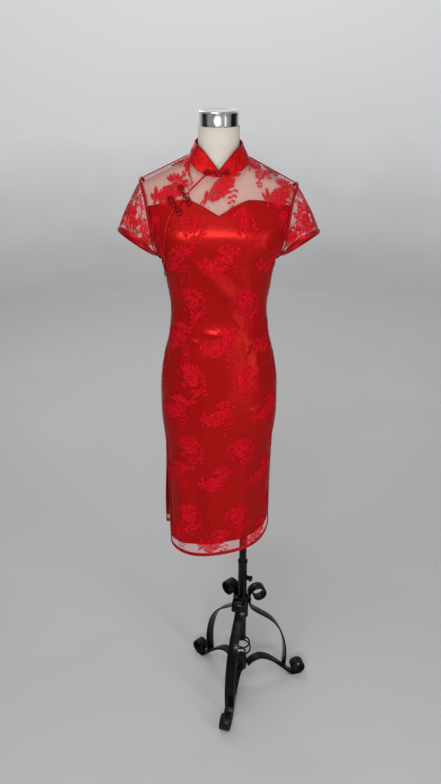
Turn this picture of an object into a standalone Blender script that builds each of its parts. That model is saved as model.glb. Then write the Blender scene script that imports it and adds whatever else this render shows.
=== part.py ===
"""A short-sleeved cheongsam of lace over satin, on a limbless dress form with an iron tripod stand.

Metres, +Z up, the front towards -Y. The origin is on the floor, under the middle of the whole.
The dress and the form share one body surface: the form lies inside it and the cloth outside it.
Left and right are those of someone who stands in front of the dress.
"""

import math
from collections import namedtuple

import bmesh
import bpy
import numpy as np

LEFT, RIGHT = -1, 1
FRONT, BACK = -1, 1

# Where the form's axis and the pole's axis stand. The pole is off the form's middle.
FORM_X = -0.0174
FORM_Y = 0.0234
POLE_X = FORM_X + 0.071
POLE_Y = FORM_Y

# Heights over the floor
FORM_BOTTOM = 0.945
UNDERARM = 1.432
SHOULDER_TIP = 1.611
SIDE_NECK = 1.671
NECK_TOP = 1.741
CAP_TOP = 1.774

# Half-widths across the shoulders
SIDE_NECK_HALF = 0.067
SHOULDER_HALF = 0.186
SHOULDER_LEAN = 0.006  # the right shoulder sits this much lower, and the left this much higher

# Layers, counted outwards from the body surface
LINING = (0.0, 0.0010)
LACE = (0.0019, 0.0029)
TRIM = (0.0036, 0.0050)
CURVED_TRIM = (0.0046, 0.0058)  # trim on the most curved places
FORM_CLEARANCE = 0.0030
SEAM = 0.00015  # half the gap between two panels at a seam
TOUCH = 0.0003  # the gap between pieces that touch
MERGE = 0.00001

# One row for each height: half-width, depth before and behind the axis, how square the section is
# (2 is an ellipse), and how far the skirt has turned round the form.
Section = namedtuple("Section", "z half front back corner yaw")
BODY = (
    Section(0.540, 0.142, 0.097, 0.099, 2.10, 15.0),
    Section(0.660, 0.142, 0.095, 0.099, 2.10, 13.0),
    Section(0.780, 0.141, 0.094, 0.100, 2.15, 10.0),
    Section(0.919, 0.143, 0.098, 0.108, 2.20, 6.0),
    Section(1.012, 0.153, 0.103, 0.121, 2.25, 3.0),
    Section(1.084, 0.152, 0.105, 0.125, 2.25, 1.0),
    Section(1.180, 0.139, 0.102, 0.113, 2.25, 0.0),
    Section(1.236, 0.126, 0.097, 0.100, 2.20, 0.0),
    Section(1.305, 0.120, 0.091, 0.088, 2.20, 0.0),
    Section(1.370, 0.128, 0.102, 0.093, 2.25, 0.0),
    Section(1.432, 0.140, 0.112, 0.099, 2.35, 0.0),
    Section(1.465, 0.160, 0.116, 0.101, 2.40, 0.0),
    Section(1.505, 0.176, 0.117, 0.101, 2.40, 0.0),
    Section(1.550, 0.188, 0.108, 0.098, 2.40, 0.0),
    Section(1.600, 0.197, 0.094, 0.092, 2.40, 0.0),
    Section(1.720, 0.205, 0.080, 0.086, 2.40, 0.0),
)
# Below the left slit the back panel's edge stands out further than the front's
SLIT_FLARE = 0.06
SLIT_FLARE_TOP = 0.92
SLIT_FLARE_REACH = 0.20
BUST_ANGLE, BUST_ANGLE_SPREAD = 42.0, 20.0
BUST_Z, BUST_Z_SPREAD = 1.500, 0.042
BUST_RISE = 0.012

# The armhole's edge: how far it has gone out towards the shoulder tip at each part of its height
ArmholeRow = namedtuple("ArmholeRow", "height out")
ARMHOLE = (
    ArmholeRow(0.00, 0.00),
    ArmholeRow(0.10, 0.19),
    ArmholeRow(0.33, 0.37),
    ArmholeRow(0.58, 0.52),
    ArmholeRow(0.85, 0.74),
    ArmholeRow(1.00, 1.00),
)

# Columns across a panel: the share of the half-angle under the neck, and how many there are
NECK_SHARE = 0.30
NECK_COLUMNS = 8
SIDE_COLUMNS = 5
SIDE_FRONT_COLUMNS = 10
SKIRT_ROWS = 16
SLIT_ROWS = 6  # the side slits are open along this many of them
CHEST_ROWS = 8

# Neckline and collar
NECK_DROP = {FRONT: 0.036, BACK: -0.004}


def smooth_rows(rows, column):
    """Heights, values and slopes of one column of a table, for a curve that never overshoots."""
    x = np.array([row[0] for row in rows], float)
    y = np.array([getattr(row, column) for row in rows], float)
    step = np.diff(y) / np.diff(x)
    slope = np.zeros_like(y)
    rising = step[:-1] * step[1:] > 0
    slope[1:-1][rising] = 2 * (step[:-1] * step[1:])[rising] / (step[:-1] + step[1:])[rising]
    slope[0], slope[-1] = step[0], step[-1]
    return x, y, slope


def read(curve, at):
    """The value of a smooth_rows curve at a height, or at many."""
    x, y, slope = curve
    at = np.clip(at, x[0], x[-1])
    i = np.clip(np.searchsorted(x, at) - 1, 0, len(x) - 2)
    span = x[i + 1] - x[i]
    u = (at - x[i]) / span
    rest = 1 - u
    ends = y[i] * (1 + 2 * u) * rest**2 + y[i + 1] * (1 + 2 * rest) * u**2
    return ends + span * u * rest * (slope[i] * rest - slope[i + 1] * u)


HALF, FRONT_DEPTH, BACK_DEPTH, CORNER, YAW = (
    smooth_rows(BODY, column) for column in ("half", "front", "back", "corner", "yaw")
)
ARMHOLE_OUT = smooth_rows(ARMHOLE, "out")


def ease(u):
    """0 to 1 with level ends."""
    u = np.clip(u, 0, 1)
    return u * u * (3 - 2 * u)


def ridge(x):
    """Height of the shoulder line over a place x off the axis."""
    slope = (SIDE_NECK - SHOULDER_TIP) / (SHOULDER_HALF - SIDE_NECK_HALF)
    return SIDE_NECK - (np.abs(x) - SIDE_NECK_HALF) * slope


def bust(angle, z):
    """How far the darts let the front stand out."""
    across = np.exp(-(((abs(angle) - BUST_ANGLE) / BUST_ANGLE_SPREAD) ** 2))
    return BUST_RISE * across * np.exp(-(((z - BUST_Z) / BUST_Z_SPREAD) ** 2))


def placed(x, y, z, yaw=0.0):
    """A point of the body in the model's frame, turned with the skirt and leaning with the shoulders."""
    turn = math.radians(yaw)
    lean = SHOULDER_LEAN * x / SHOULDER_HALF * ease((z - UNDERARM) / (SHOULDER_TIP - UNDERARM))
    return np.array(
        (
            FORM_X + x * math.cos(turn) - y * math.sin(turn),
            FORM_Y + x * math.sin(turn) + y * math.cos(turn),
            z - lean,
        )
    )


def skirt_point(angle, z):
    """The body surface below the underarm, at an angle from the front, in degrees, right positive."""
    power = 2 / read(CORNER, z)
    a = math.radians(angle)
    x = read(HALF, z) * math.copysign(abs(math.sin(a)) ** power, math.sin(a))
    depth = read(FRONT_DEPTH if math.cos(a) > 0 else BACK_DEPTH, z)
    y = -depth * math.copysign(abs(math.cos(a)) ** power, math.cos(a))
    if math.cos(a) > 0:
        y -= bust(angle, z)
    else:
        flare = SLIT_FLARE if x < 0 else 0.0
        x *= 1 + flare * float(ease((SLIT_FLARE_TOP - z) / SLIT_FLARE_REACH)) * abs(math.sin(a)) ** 4
    return placed(x, y, z, float(read(YAW, z)))


def chest_point(side, x, z):
    """The body surface above the underarm, x off the axis, on the front or the back."""
    corner = read(CORNER, z)
    share = min(abs(x) / read(HALF, z), 1.0)
    across = (1 - share**corner) ** (1 / corner)
    up = min((z - UNDERARM) / (ridge(x) - UNDERARM), 1.0)
    arch = (1 - max(up, 0.0) ** 3) ** (1 / 3)
    depth = read(FRONT_DEPTH if side == FRONT else BACK_DEPTH, z)
    if side == FRONT:
        depth += bust(math.degrees(math.asin(min(share, 1.0))), z)
    return placed(x, side * depth * across * arch, z)


# A hem's edge: its lowest height, how far it climbs to the right, and how far its corners rise
Hem = namedtuple("Hem", "low climb corner_left corner_right")
LACE_HEM = {FRONT: Hem(0.578, 0.032, 0.020, 0.045), BACK: Hem(0.604, 0.010, 0.060, 0.045)}
LINING_HEM = {FRONT: Hem(0.618, 0.030, 0.0, 0.030), BACK: Hem(0.630, 0.010, 0.056, 0.042)}
CORNER_START = 0.30
CORNER_POWER = 1.8


def hem_height(hem, s):
    """Height of a hem's edge: it climbs to the right and its corners at the slits are rounded."""
    corner = hem.corner_left if s < 0 else hem.corner_right
    curve = max((abs(s) - CORNER_START) / (1 - CORNER_START), 0.0) ** CORNER_POWER
    return hem.low + hem.climb * (s + 1) / 2 + corner * curve


def panel_point(side, s, t):
    """A point of the front or back body surface.

    s runs from -1 at the left side to 1 at the right. t runs from 0 at the hem to 1 at the
    underarm, and from there to 2 at the shoulder line and the neckline.
    """
    if t <= 1:
        hem = hem_height(LACE_HEM[side], s)
        z = hem + (UNDERARM - hem) * t
        angle = 90 * s if side == FRONT else 180 - 90 * s
        return skirt_point(angle, z)
    low = read(HALF, UNDERARM) * abs(math.sin(math.radians(90 * s))) ** (2 / read(CORNER, UNDERARM))
    share = abs(s) / NECK_SHARE
    if share <= 1:
        high = SIDE_NECK_HALF * math.sin(math.pi / 2 * share)
        edge = SIDE_NECK - NECK_DROP[side] * math.cos(math.pi / 2 * share)
    else:
        high = SIDE_NECK_HALF + (SHOULDER_HALF - SIDE_NECK_HALF) * (abs(s) - NECK_SHARE) / (1 - NECK_SHARE)
        edge = ridge(high)
    top = ridge(high)
    full = math.asin(min((edge - UNDERARM) / (top - UNDERARM), 1.0))
    rise = math.sin((t - 1) * full)
    out = float(read(ARMHOLE_OUT, rise))
    x = math.copysign(low + (high - low) * out, s)
    return chest_point(side, x, UNDERARM + (top - UNDERARM) * rise)


def normals_of(surface, places):
    """The surface's outward unit normals at a grid of places (s, t)."""
    tiny = 1e-3

    def normal(s, t):
        top = 2.0 if t > 1 else 9.0
        across = surface(s + tiny, t) - surface(s - tiny, t)
        up = surface(s, min(t + tiny, top)) - surface(s, t - tiny)
        n = np.cross(across, up)
        return n / np.linalg.norm(n)

    return np.array([[normal(s, t) for s, t in row] for row in places])


def sheet(surface, places, flip=False):
    """Points and outward normals of a grid of places on a surface."""
    points = np.array([[surface(s, t) for s, t in row] for row in places])
    normals = normals_of(surface, places)
    return points, -normals if flip else normals


def stretch(surface, s, t):
    """Metres of the surface for each unit of s, near a place."""
    step = 0.02
    return np.linalg.norm(surface(s + step, t) - surface(s - step, t)) / (2 * step)


# ---------------------------------------------------------------------------------- making solids


def material(name, colour, roughness, metallic=0.0):
    made = bpy.data.materials.new(name)
    made.use_nodes = True
    shader = made.node_tree.nodes["Principled BSDF"]
    shader.inputs["Base Color"].default_value = (*colour, 1.0)
    shader.inputs["Roughness"].default_value = roughness
    shader.inputs["Metallic"].default_value = metallic
    return made


def add_solid(name, points, faces, finish, smooth=True):
    """One closed body with its faces pointing out."""
    mesh = bpy.data.meshes.new(name)
    mesh.from_pydata([tuple(p) for p in points], [], faces)
    shape = bmesh.new()
    shape.from_mesh(mesh)
    bmesh.ops.remove_doubles(shape, verts=shape.verts, dist=MERGE)
    many_sided = [f for f in shape.faces if len(f.verts) > 3]
    bmesh.ops.triangulate(shape, faces=many_sided, quad_method="SHORT_EDGE")
    bmesh.ops.recalc_face_normals(shape, faces=shape.faces)
    if shape.calc_volume(signed=True) < 0:
        bmesh.ops.reverse_faces(shape, faces=shape.faces)
    shape.to_mesh(mesh)
    shape.free()
    mesh.materials.append(finish)
    made = bpy.data.objects.new(name, mesh)
    bpy.context.collection.objects.link(made)
    if smooth:
        mesh.shade_smooth()
        mesh.set_sharp_from_angle(angle=math.radians(40))
    return made


def wall(name, points, normals, layer, finish, closed=False):
    """A sheet given a thickness: a grid of points moved out to the layer's two faces."""
    rows, columns = points.shape[:2]
    both = [points + normals * depth for depth in layer]
    flat = np.concatenate([grid.reshape(-1, 3) for grid in both])

    def at(face, i, j):
        return face * rows * columns + i * columns + j % columns

    spans = columns if closed else columns - 1
    faces = []
    for i in range(rows - 1):
        for j in range(spans):
            for face in (0, 1):
                faces.append((at(face, i, j), at(face, i, j + 1), at(face, i + 1, j + 1), at(face, i + 1, j)))
    for j in range(spans):
        for i in (0, rows - 1):
            faces.append((at(0, i, j), at(0, i, j + 1), at(1, i, j + 1), at(1, i, j)))
    if not closed:
        for i in range(rows - 1):
            for j in (0, columns - 1):
                faces.append((at(0, i, j), at(0, i + 1, j), at(1, i + 1, j), at(1, i, j)))
    return add_solid(name, flat, faces, finish)


def unit(v):
    return v / np.linalg.norm(v, axis=-1, keepdims=True)


def along(path, closed=False):
    """Unit directions along a path."""
    if closed:
        return unit(np.roll(path, -1, axis=0) - np.roll(path, 1, axis=0))
    return unit(np.gradient(path, axis=0))


def ribbon(name, path, normals, layer, width, finish, side=1, closed=False):
    """A flat band on one side of an edge, moved out over what it is sewn to."""
    inward = side * unit(np.cross(normals, along(path, closed)))
    points = np.stack([path, path + inward * width / 2, path + inward * width], axis=1)
    return wall(name, *(turned(g) for g in (points, np.repeat(normals[:, None], 3, axis=1))), layer, finish, closed)


def turned(grid):
    """The same grid with its rows and columns exchanged."""
    return np.swapaxes(grid, 0, 1)


def swept(name, path, radii, sides, finish, lift=None):
    """A round cord or rod along a path, with a radius for each of its points."""
    path = np.array(path, float)
    forward = along(path)
    across = np.cross(forward[0], (0.0, 0.0, 1.0) if lift is None else lift)
    across = across / np.linalg.norm(across)
    points = []
    for p, f, r in zip(path, forward, np.broadcast_to(radii, len(path))):
        across = across - f * np.dot(across, f)
        across = across / np.linalg.norm(across)
        up = np.cross(f, across)
        for k in range(sides):
            a = 2 * math.pi * k / sides
            points.append(p + r * (across * math.cos(a) + up * math.sin(a)))
    faces = []
    for i in range(len(path) - 1):
        for k in range(sides):
            j = (k + 1) % sides
            faces.append((i * sides + k, i * sides + j, (i + 1) * sides + j, (i + 1) * sides + k))
    last = (len(path) - 1) * sides
    faces.append(tuple(range(sides)))
    faces.append(tuple(last + k for k in range(sides)))
    return add_solid(name, points, faces, finish)


def lathed(name, profile, centre, finish, sides=28, axis=(0.0, 0.0, 1.0)):
    """A turned solid: a closed profile of (radius, height) spun round an axis through the centre.

    A profile that starts and ends at radius 0 is solid, and any other is a ring.
    """
    axis = unit(np.array(axis, float))
    side = np.array((1.0, 0.0, 0.0)) if abs(axis[2]) > 0.9 else np.array((0.0, 0.0, 1.0))
    across = unit(np.cross(axis, side))
    beside = np.cross(axis, across)
    solid = profile[0][0] == 0
    turned_part = profile[1:-1] if solid else profile
    points = []
    for r, h in turned_part:
        for k in range(sides):
            a = 2 * math.pi * k / sides
            points.append(np.array(centre) + axis * h + r * (across * math.cos(a) + beside * math.sin(a)))
    count = len(turned_part)
    faces = []
    for i in range(count - 1 if solid else count):
        for k in range(sides):
            j = (k + 1) % sides
            n = (i + 1) % count
            faces.append((i * sides + k, i * sides + j, n * sides + j, n * sides + k))
    if solid:
        faces.append(tuple(range(sides)))
        faces.append(tuple((count - 1) * sides + k for k in range(sides)))
    return add_solid(name, points, faces, finish)


# ------------------------------------------------------------------------------------- the finishes

for old in list(bpy.data.objects):
    bpy.data.objects.remove(old)

SATIN = material("satin_lining", (0.62, 0.010, 0.012), 0.34)
LACE_RED = material("lace", (0.55, 0.012, 0.022), 0.70)
BINDING = material("satin_binding", (0.50, 0.006, 0.010), 0.38)
JERSEY = material("form_jersey", (0.72, 0.67, 0.60), 0.85)
CHROME = material("cap_chrome", (0.80, 0.80, 0.80), 0.08, 1.0)
IRON = material("stand_black", (0.012, 0.012, 0.013), 0.25, 0.6)
STEEL = material("pole_black", (0.015, 0.015, 0.016), 0.22, 0.8)


# ------------------------------------------------------------------------------ panels of the dress

# The slanted opening's edge across the front, x off the form's axis
OpeningRow = namedtuple("OpeningRow", "z x")
OPENING = (
    OpeningRow(1.385, -0.1300),
    OpeningRow(1.430, -0.1290),
    OpeningRow(1.477, -0.1260),
    OpeningRow(1.516, -0.1250),
    OpeningRow(1.537, -0.1190),
    OpeningRow(1.558, -0.1080),
    OpeningRow(1.586, -0.0855),
    OpeningRow(1.615, -0.0600),
    OpeningRow(1.628, -0.0460),
    OpeningRow(1.645, -0.0270),
)
OPENING_X = smooth_rows(OPENING, "x")

# The satin's upper edge dips to a point at the middle, over the sheer yoke
SweetheartRow = namedtuple("SweetheartRow", "x z")
SWEETHEART = (
    SweetheartRow(0.000, 1.555),
    SweetheartRow(0.022, 1.567),
    SweetheartRow(0.045, 1.579),
    SweetheartRow(0.072, 1.587),
    SweetheartRow(0.095, 1.585),
    SweetheartRow(0.140, 1.575),
    SweetheartRow(0.190, 1.560),
)
SWEETHEART_Z = smooth_rows(SWEETHEART, "z")
BACK_LINING_ROW = 6  # of the rows above the underarm

SEAM_SHARE = 0.001  # half the gap at a seam, as a share of the half-angle
SLIT_OPEN = 0.035  # how far each panel's edge hangs back from the side at the hem, the same way


def skirt_t(z, side=FRONT, s=-1.0):
    hem = hem_height(LACE_HEM[side], s)
    return (z - hem) / (UNDERARM - hem)


OPENING_START = skirt_t(OPENING[0].z)


def edge_share(t):
    """Share of the half-angle that a panel fills: less below the slit's top, where it hangs open."""
    return 1 - SEAM_SHARE - SLIT_OPEN * max(1 - t * SKIRT_ROWS / SLIT_ROWS, 0.0) ** 1.2


def opening_share(t):
    """How far across the front the slanted opening's edge is at t."""
    low, high = -1.0, 0.0
    for _ in range(30):
        middle = (low + high) / 2
        x, _y, z = panel_point(FRONT, middle, t)
        if x - FORM_X < read(OPENING_X, z):
            low = middle
        else:
            high = middle
    return high


def base_columns():
    neck = np.linspace(-NECK_SHARE, NECK_SHARE, NECK_COLUMNS + 1)
    side = np.linspace(NECK_SHARE, 1, SIDE_COLUMNS + 1)[1:]
    return np.concatenate([-side[::-1], neck, side])


def body_rows():
    """The heights t of a panel's rows, with one at the foot of the slanted opening."""
    skirt = np.linspace(0, 1, SKIRT_ROWS + 1)
    chest = np.linspace(1, 2, CHEST_ROWS + 1)[1:]
    foot = OPENING_START
    skirt = skirt[abs(skirt - foot) > 0.01]
    return np.sort(np.concatenate([skirt, (foot - 2 * SEAM_SHARE, foot), chest]))


def front_places():
    """The main front: the left columns are drawn in to the opening above its foot."""
    places = []
    for t in body_rows():
        edge = edge_share(t)
        row = np.clip(base_columns(), -edge, edge)
        if t >= OPENING_START:
            left = opening_share(t) + SEAM_SHARE
            row = np.where(row < 0, row * -left, row)
        places.append([(s, t) for s in row])
    return places


def side_front_places():
    """The small left front that the slanted opening laps: it runs from the armhole to the opening."""
    places = []
    for t in body_rows():
        if t >= OPENING_START:
            right = opening_share(t) - SEAM_SHARE
            places.append([(s, t) for s in np.linspace(-1 + SEAM_SHARE, right, SIDE_FRONT_COLUMNS)])
    return places


def back_places():
    places = []
    for t in body_rows():
        edge = edge_share(t)
        places.append([(s, t) for s in np.clip(base_columns(), -edge, edge)])
    return places


def front_surface(s, t):
    return panel_point(FRONT, s, t)


def back_surface(s, t):
    return panel_point(BACK, s, t)


def satin_top(column):
    """Where a column of places meets the satin's upper edge, which may be at its end."""
    low, high = 1.0, column[-1][1]
    for _ in range(30):
        middle = (low + high) / 2
        x, _y, z = panel_point(FRONT, np.interp(middle, column[:, 1], column[:, 0]), middle)
        if z < read(SWEETHEART_Z, abs(x - FORM_X)):
            low = middle
        else:
            high = middle
    return low


def cut_short(places, side, to_sweetheart):
    """The same places with their ends drawn back to the satin's hem and to its upper edge.

    Places past an edge fall together on it, so the satin keeps the lace's own columns and rows.
    """
    rows = np.array(places)
    for j in range(rows.shape[1]):
        column = rows[:, j].copy()
        low = 0.0
        if column[0][1] == 0:
            s = column[0][0]
            low = skirt_t(hem_height(LINING_HEM[side], s), side, s)
        high = satin_top(column) if to_sweetheart else 9.0
        for i, t in enumerate(np.clip(column[:, 1], low, high)):
            rows[i, j] = np.interp(t, column[:, 1], column[:, 0]), t
    return rows


def make_panels():
    """The dress's six panels. Returns the grids of the lace ones, which the bindings follow."""
    front, side_front, back = front_places(), side_front_places(), back_places()
    lace = {
        "lace_front": sheet(front_surface, front),
        "lace_side_front": sheet(front_surface, side_front),
        "lace_back": sheet(back_surface, back, flip=True),
    }
    for name, grid in lace.items():
        wall(name, *grid, LACE, LACE_RED)
    satin = cut_short(front, FRONT, True)
    wall("lining_front", *sheet(front_surface, satin), LINING, SATIN)
    satin = cut_short(side_front, FRONT, True)
    wall("lining_side_front", *sheet(front_surface, satin), LINING, SATIN)
    satin = cut_short(back[: BACK_LINING_ROW - CHEST_ROWS], BACK, False)
    wall("lining_back", *sheet(back_surface, satin, flip=True), LINING, SATIN)
    return lace


# ---------------------------------------------------------------------------------------- sleeves

SLEEVE_LAYER = (0.0, 0.0010)
SLEEVE_TRIM = (0.0018, 0.0030)
SLEEVE_ROWS = 5
ARMHOLE_STEPS = CHEST_ROWS
SLEEVE_OUTER = (0.246, 1.492)  # where its hem is furthest out: off the axis, and height
SLEEVE_INNER = (0.161, 1.436)  # where its hem is nearest to the side seam
SLEEVE_HALF_DEPTH = 0.062
SLEEVE_TILT = 0.42  # how much its hem climbs towards the front
SLEEVE_CROWN = 0.004
SLEEVE_START = 0.0070
SLEEVE_STEP = 0.0020
SLEEVE_HEM_WIDTH = 0.010
ARMHOLE_BAND = 0.008
ARMPIT_TURN = 4.0


def armhole(side):
    """The closed edge of an armhole, up the front and down the back, and its outward normals."""
    ups = np.linspace(1, 2, ARMHOLE_STEPS + 1)
    downs = ups[::-1][1:-1]
    edge = np.array([front_surface(side, t) for t in ups] + [back_surface(side, t) for t in downs])
    front = normals_of(front_surface, [[(side * 0.99, t) for t in ups]])[0]
    back = -normals_of(back_surface, [[(side * 0.99, t) for t in downs]])[0]
    normals = np.concatenate([front, back])
    normals[0] = (side, 0, 0)
    normals[ARMHOLE_STEPS] = (side * 0.45, 0, 0.9)
    return edge, unit(normals)


def armhole_band(side):
    """A strip of the body surface that runs round an armhole, on the panels' edge."""
    points, normals = [], []
    for k in range(2 * ARMHOLE_STEPS):
        up = min(k, 2 * ARMHOLE_STEPS - k) / ARMHOLE_STEPS
        under = 1 - float(ease(up * ARMPIT_TURN))  # under the arm the strip runs below the edge
        surface, way = (front_surface, 1) if k <= ARMHOLE_STEPS else (back_surface, -1)
        places = []
        for part in (0.0, 0.5, 1.0):
            across = part * ARMHOLE_BAND / stretch(surface, side * 0.95, 1 + up) * (1 - under)
            down = part * ARMHOLE_BAND / (UNDERARM - LACE_HEM[FRONT].low) * under
            places.append((side * (1 - SEAM_SHARE - across), 1 + up - down))
        row, row_normals = sheet(surface, [places], flip=way < 0)
        if up in (0.0, 1.0):
            row_normals = row_normals + sheet(back_surface, [places], flip=True)[1]
        points.append(row[0])
        normals.append(unit(row_normals[0]))
    return turned(np.array(points)), turned(np.array(normals))


def sleeve_grid(side):
    """Rows of points from the armhole to the sleeve's hem, each row a closed loop."""
    edge, normals = armhole(side)
    middle = [(a + b) / 2 for a, b in zip(SLEEVE_OUTER, SLEEVE_INNER)]
    reach = [(a - b) / 2 for a, b in zip(SLEEVE_OUTER, SLEEVE_INNER)]
    hem = []
    for k in range(2 * ARMHOLE_STEPS):
        a = math.pi * k / ARMHOLE_STEPS
        y = -SLEEVE_HALF_DEPTH * math.sin(a)
        x, z = (m - r * math.cos(a) for m, r in zip(middle, reach))
        hem.append(placed(side * x, y, z - SLEEVE_TILT * y))
    hem = np.array(hem)
    forward = along(edge, closed=True)
    reach_out = hem - edge - forward * np.sum((hem - edge) * forward, axis=1, keepdims=True)
    start = edge + unit(reach_out) * SLEEVE_START + normals * SLEEVE_STEP
    crown = np.array([math.sin(math.pi * k / (2 * ARMHOLE_STEPS)) ** 2 for k in range(2 * ARMHOLE_STEPS)])
    grid = []
    for w in np.linspace(0, 1, SLEEVE_ROWS + 1):
        row = start * (1 - w) + hem * w
        outward = unit(row - row.mean(axis=0))
        grid.append(row + outward * (4 * w * (1 - w) * SLEEVE_CROWN * crown)[:, None])
    return np.array(grid)


def outward_normals(grid):
    """Unit normals of a tube whose rows are closed loops, pointing away from its middle."""
    around = np.roll(grid, -1, axis=1) - np.roll(grid, 1, axis=1)
    normals = unit(np.cross(around, np.gradient(grid, axis=0)))
    away = np.sum(normals * (grid - grid.mean(axis=1, keepdims=True)))
    return normals if away > 0 else -normals


def make_sleeves():
    for side, word in ((LEFT, "left"), (RIGHT, "right")):
        grid = sleeve_grid(side)
        normals = outward_normals(grid)
        wall("sleeve_" + word, grid, normals, SLEEVE_LAYER, LACE_RED, closed=True)
        back_in = unit(grid[-2] - grid[-1]) * SLEEVE_HEM_WIDTH
        band = np.array([grid[-1] + back_in * part for part in (0, 0.5, 1)])
        band_normals = np.repeat(normals[-1][None], 3, axis=0)
        wall("sleeve_hem_" + word, band, band_normals, SLEEVE_TRIM, BINDING, closed=True)
        wall("armhole_binding_" + word, *armhole_band(side), CURVED_TRIM, BINDING, closed=True)


# ----------------------------------------------------------------------------- collar and bindings

# The collar's top edge: round from the front in degrees, height, and depth of the curve it is on
CollarRow = namedtuple("CollarRow", "angle top depth")
COLLAR = (
    CollarRow(0, 1.651, 0.0690),
    CollarRow(15, 1.667, 0.0625),
    CollarRow(30, 1.682, 0.0590),
    CollarRow(45, 1.693, 0.0575),
    CollarRow(60, 1.699, 0.0575),
    CollarRow(90, 1.704, 0.0530),
    CollarRow(135, 1.711, 0.0480),
    CollarRow(180, 1.714, 0.0480),
)
COLLAR_DEPTH = smooth_rows(COLLAR, "depth")
COLLAR_TOP = smooth_rows(COLLAR, "top")
COLLAR_HALF = 0.0535
COLLAR_COLUMNS = 4 * NECK_COLUMNS + 1
COLLAR_LIFT = LACE[1] + 0.0008  # its foot stands on the lace, over the neckline
COLLAR_OPEN = 0.5  # degrees, half the gap between its two ends
COLLAR_LAYER = (0.0, 0.0014)
COLLAR_TRIM = (0.0024, 0.0036)
COLLAR_BAND = 0.004
HEM_BAND = 0.007
OPENING_BAND = 0.0045
OPENING_TOP = 1.95
SHOULDER_BAND = 0.0030
SHOULDER_TRIM = (0.0034, 0.0044)
SHOULDER_SLOPE = 0.05  # how much its edges fall to either side of the seam
SHOULDER_ENDS = (NECK_SHARE + 0.03, 0.93)


def neckline(angle):
    """A point of the neck's edge, round from the front in degrees, and the panels' normal there."""
    share = abs(angle) / 90 if abs(angle) <= 90 else (180 - abs(angle)) / 90
    places = [[(math.copysign(NECK_SHARE * share, angle), 2.0)]]
    front, front_normals = sheet(front_surface, places)
    back, back_normals = sheet(back_surface, places, flip=True)
    if abs(abs(angle) - 90) < 1:
        return front[0, 0], unit(front_normals[0, 0] + back_normals[0, 0])
    return (front[0, 0], front_normals[0, 0]) if abs(angle) < 90 else (back[0, 0], back_normals[0, 0])


def collar_point(angle, up):
    """The stand collar's inner face, round from the front, from its foot (0) to its top edge (1)."""
    edge, normal = neckline(angle)
    foot = edge + normal * COLLAR_LIFT
    a = math.radians(angle)
    depth, height = (float(read(curve, abs(angle))) for curve in (COLLAR_DEPTH, COLLAR_TOP))
    top = placed(COLLAR_HALF * math.sin(a), -depth * math.cos(a), height)
    return foot + (top - foot) * up


def collar_grid():
    angles = np.linspace(COLLAR_OPEN, 360 - COLLAR_OPEN, COLLAR_COLUMNS)
    angles = [a if a <= 180 else a - 360 for a in angles]
    columns = []
    for a in angles:
        height = np.linalg.norm(collar_point(a, 1) - collar_point(a, 0))
        columns.append([collar_point(a, up) for up in (0, 0.45, 1 - COLLAR_BAND / height, 1)])
    grid = turned(np.array(columns))
    around, up = np.gradient(grid, axis=1), np.gradient(grid, axis=0)
    return grid, unit(np.cross(around, up))


def boundary(grid, normals, rows):
    """The edge of a panel's lower part: down one slit, along the hem and up the other slit."""
    down = [(i, 0) for i in range(rows, 0, -1)]
    hem = [(0, j) for j in range(grid.shape[1])]
    up = [(i, grid.shape[1] - 1) for i in range(1, rows + 1)]
    places = down + hem + up
    return np.array([grid[p] for p in places]), np.array([normals[p] for p in places])


def opening_band():
    """A strip of the front along the slanted opening's edge."""
    places = []
    for t in body_rows():
        if t >= OPENING_START:
            t = min(t, OPENING_TOP)
            left = opening_share(t) + SEAM_SHARE
            width = OPENING_BAND / stretch(front_surface, left, t)
            places.append([(left + part * width, t) for part in (0, 0.5, 1)])
    return sheet(front_surface, places)


def shoulder_band(side):
    """A strip that lies over the shoulder seam, from the neck to the armhole."""
    path = [front_surface(side * s, 2) for s in np.linspace(*SHOULDER_ENDS, 5)]
    up = np.array((side * (SIDE_NECK - SHOULDER_TIP) / (SHOULDER_HALF - SIDE_NECK_HALF), 0, 1))
    rows = [[p + (0, y, -abs(y) * SHOULDER_SLOPE) for y in (-SHOULDER_BAND, 0, SHOULDER_BAND)] for p in path]
    return np.array(rows), np.broadcast_to(unit(up), (5, 3, 3))


def make_bindings(lace):
    ribbon("hem_binding_front", *boundary(*lace["lace_front"], SLIT_ROWS), TRIM, HEM_BAND, BINDING)
    ribbon("hem_binding_back", *boundary(*lace["lace_back"], SLIT_ROWS), TRIM, HEM_BAND, BINDING, side=-1)
    wall("opening_binding", *opening_band(), CURVED_TRIM, BINDING)
    for side, word in ((LEFT, "left"), (RIGHT, "right")):
        wall("shoulder_binding_" + word, *shoulder_band(side), SHOULDER_TRIM, BINDING)
    grid, normals = collar_grid()
    wall("collar", grid, normals, COLLAR_LAYER, SATIN)
    wall("collar_binding", grid[-2:], normals[-2:], COLLAR_TRIM, BINDING)


# -------------------------------------------------------------------------------- frog fasteners

CORD = 0.0014
CORD_SIDES = 5
ROSETTE_START = 0.0022
ROSETTE_PITCH = 0.0033  # how far its turns are apart
ROSETTE_TURNS = 1.25
ROSETTE_STEPS = 12
ROSETTE_END = 90  # the side that the cord leaves it from, in degrees
# Where the cord goes on from there, towards the frog's middle: along and across, from the rosette's heart
ROSETTE_TAIL = ((-0.0040, 0.0058), (-0.0064, 0.0032))
KNOT = 0.0040
KNOT_STEPS = 6
LOOP_GAP = CORD + TOUCH + 0.0010
FROG_LIFT = CURVED_TRIM[1] + TOUCH + CORD

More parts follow.
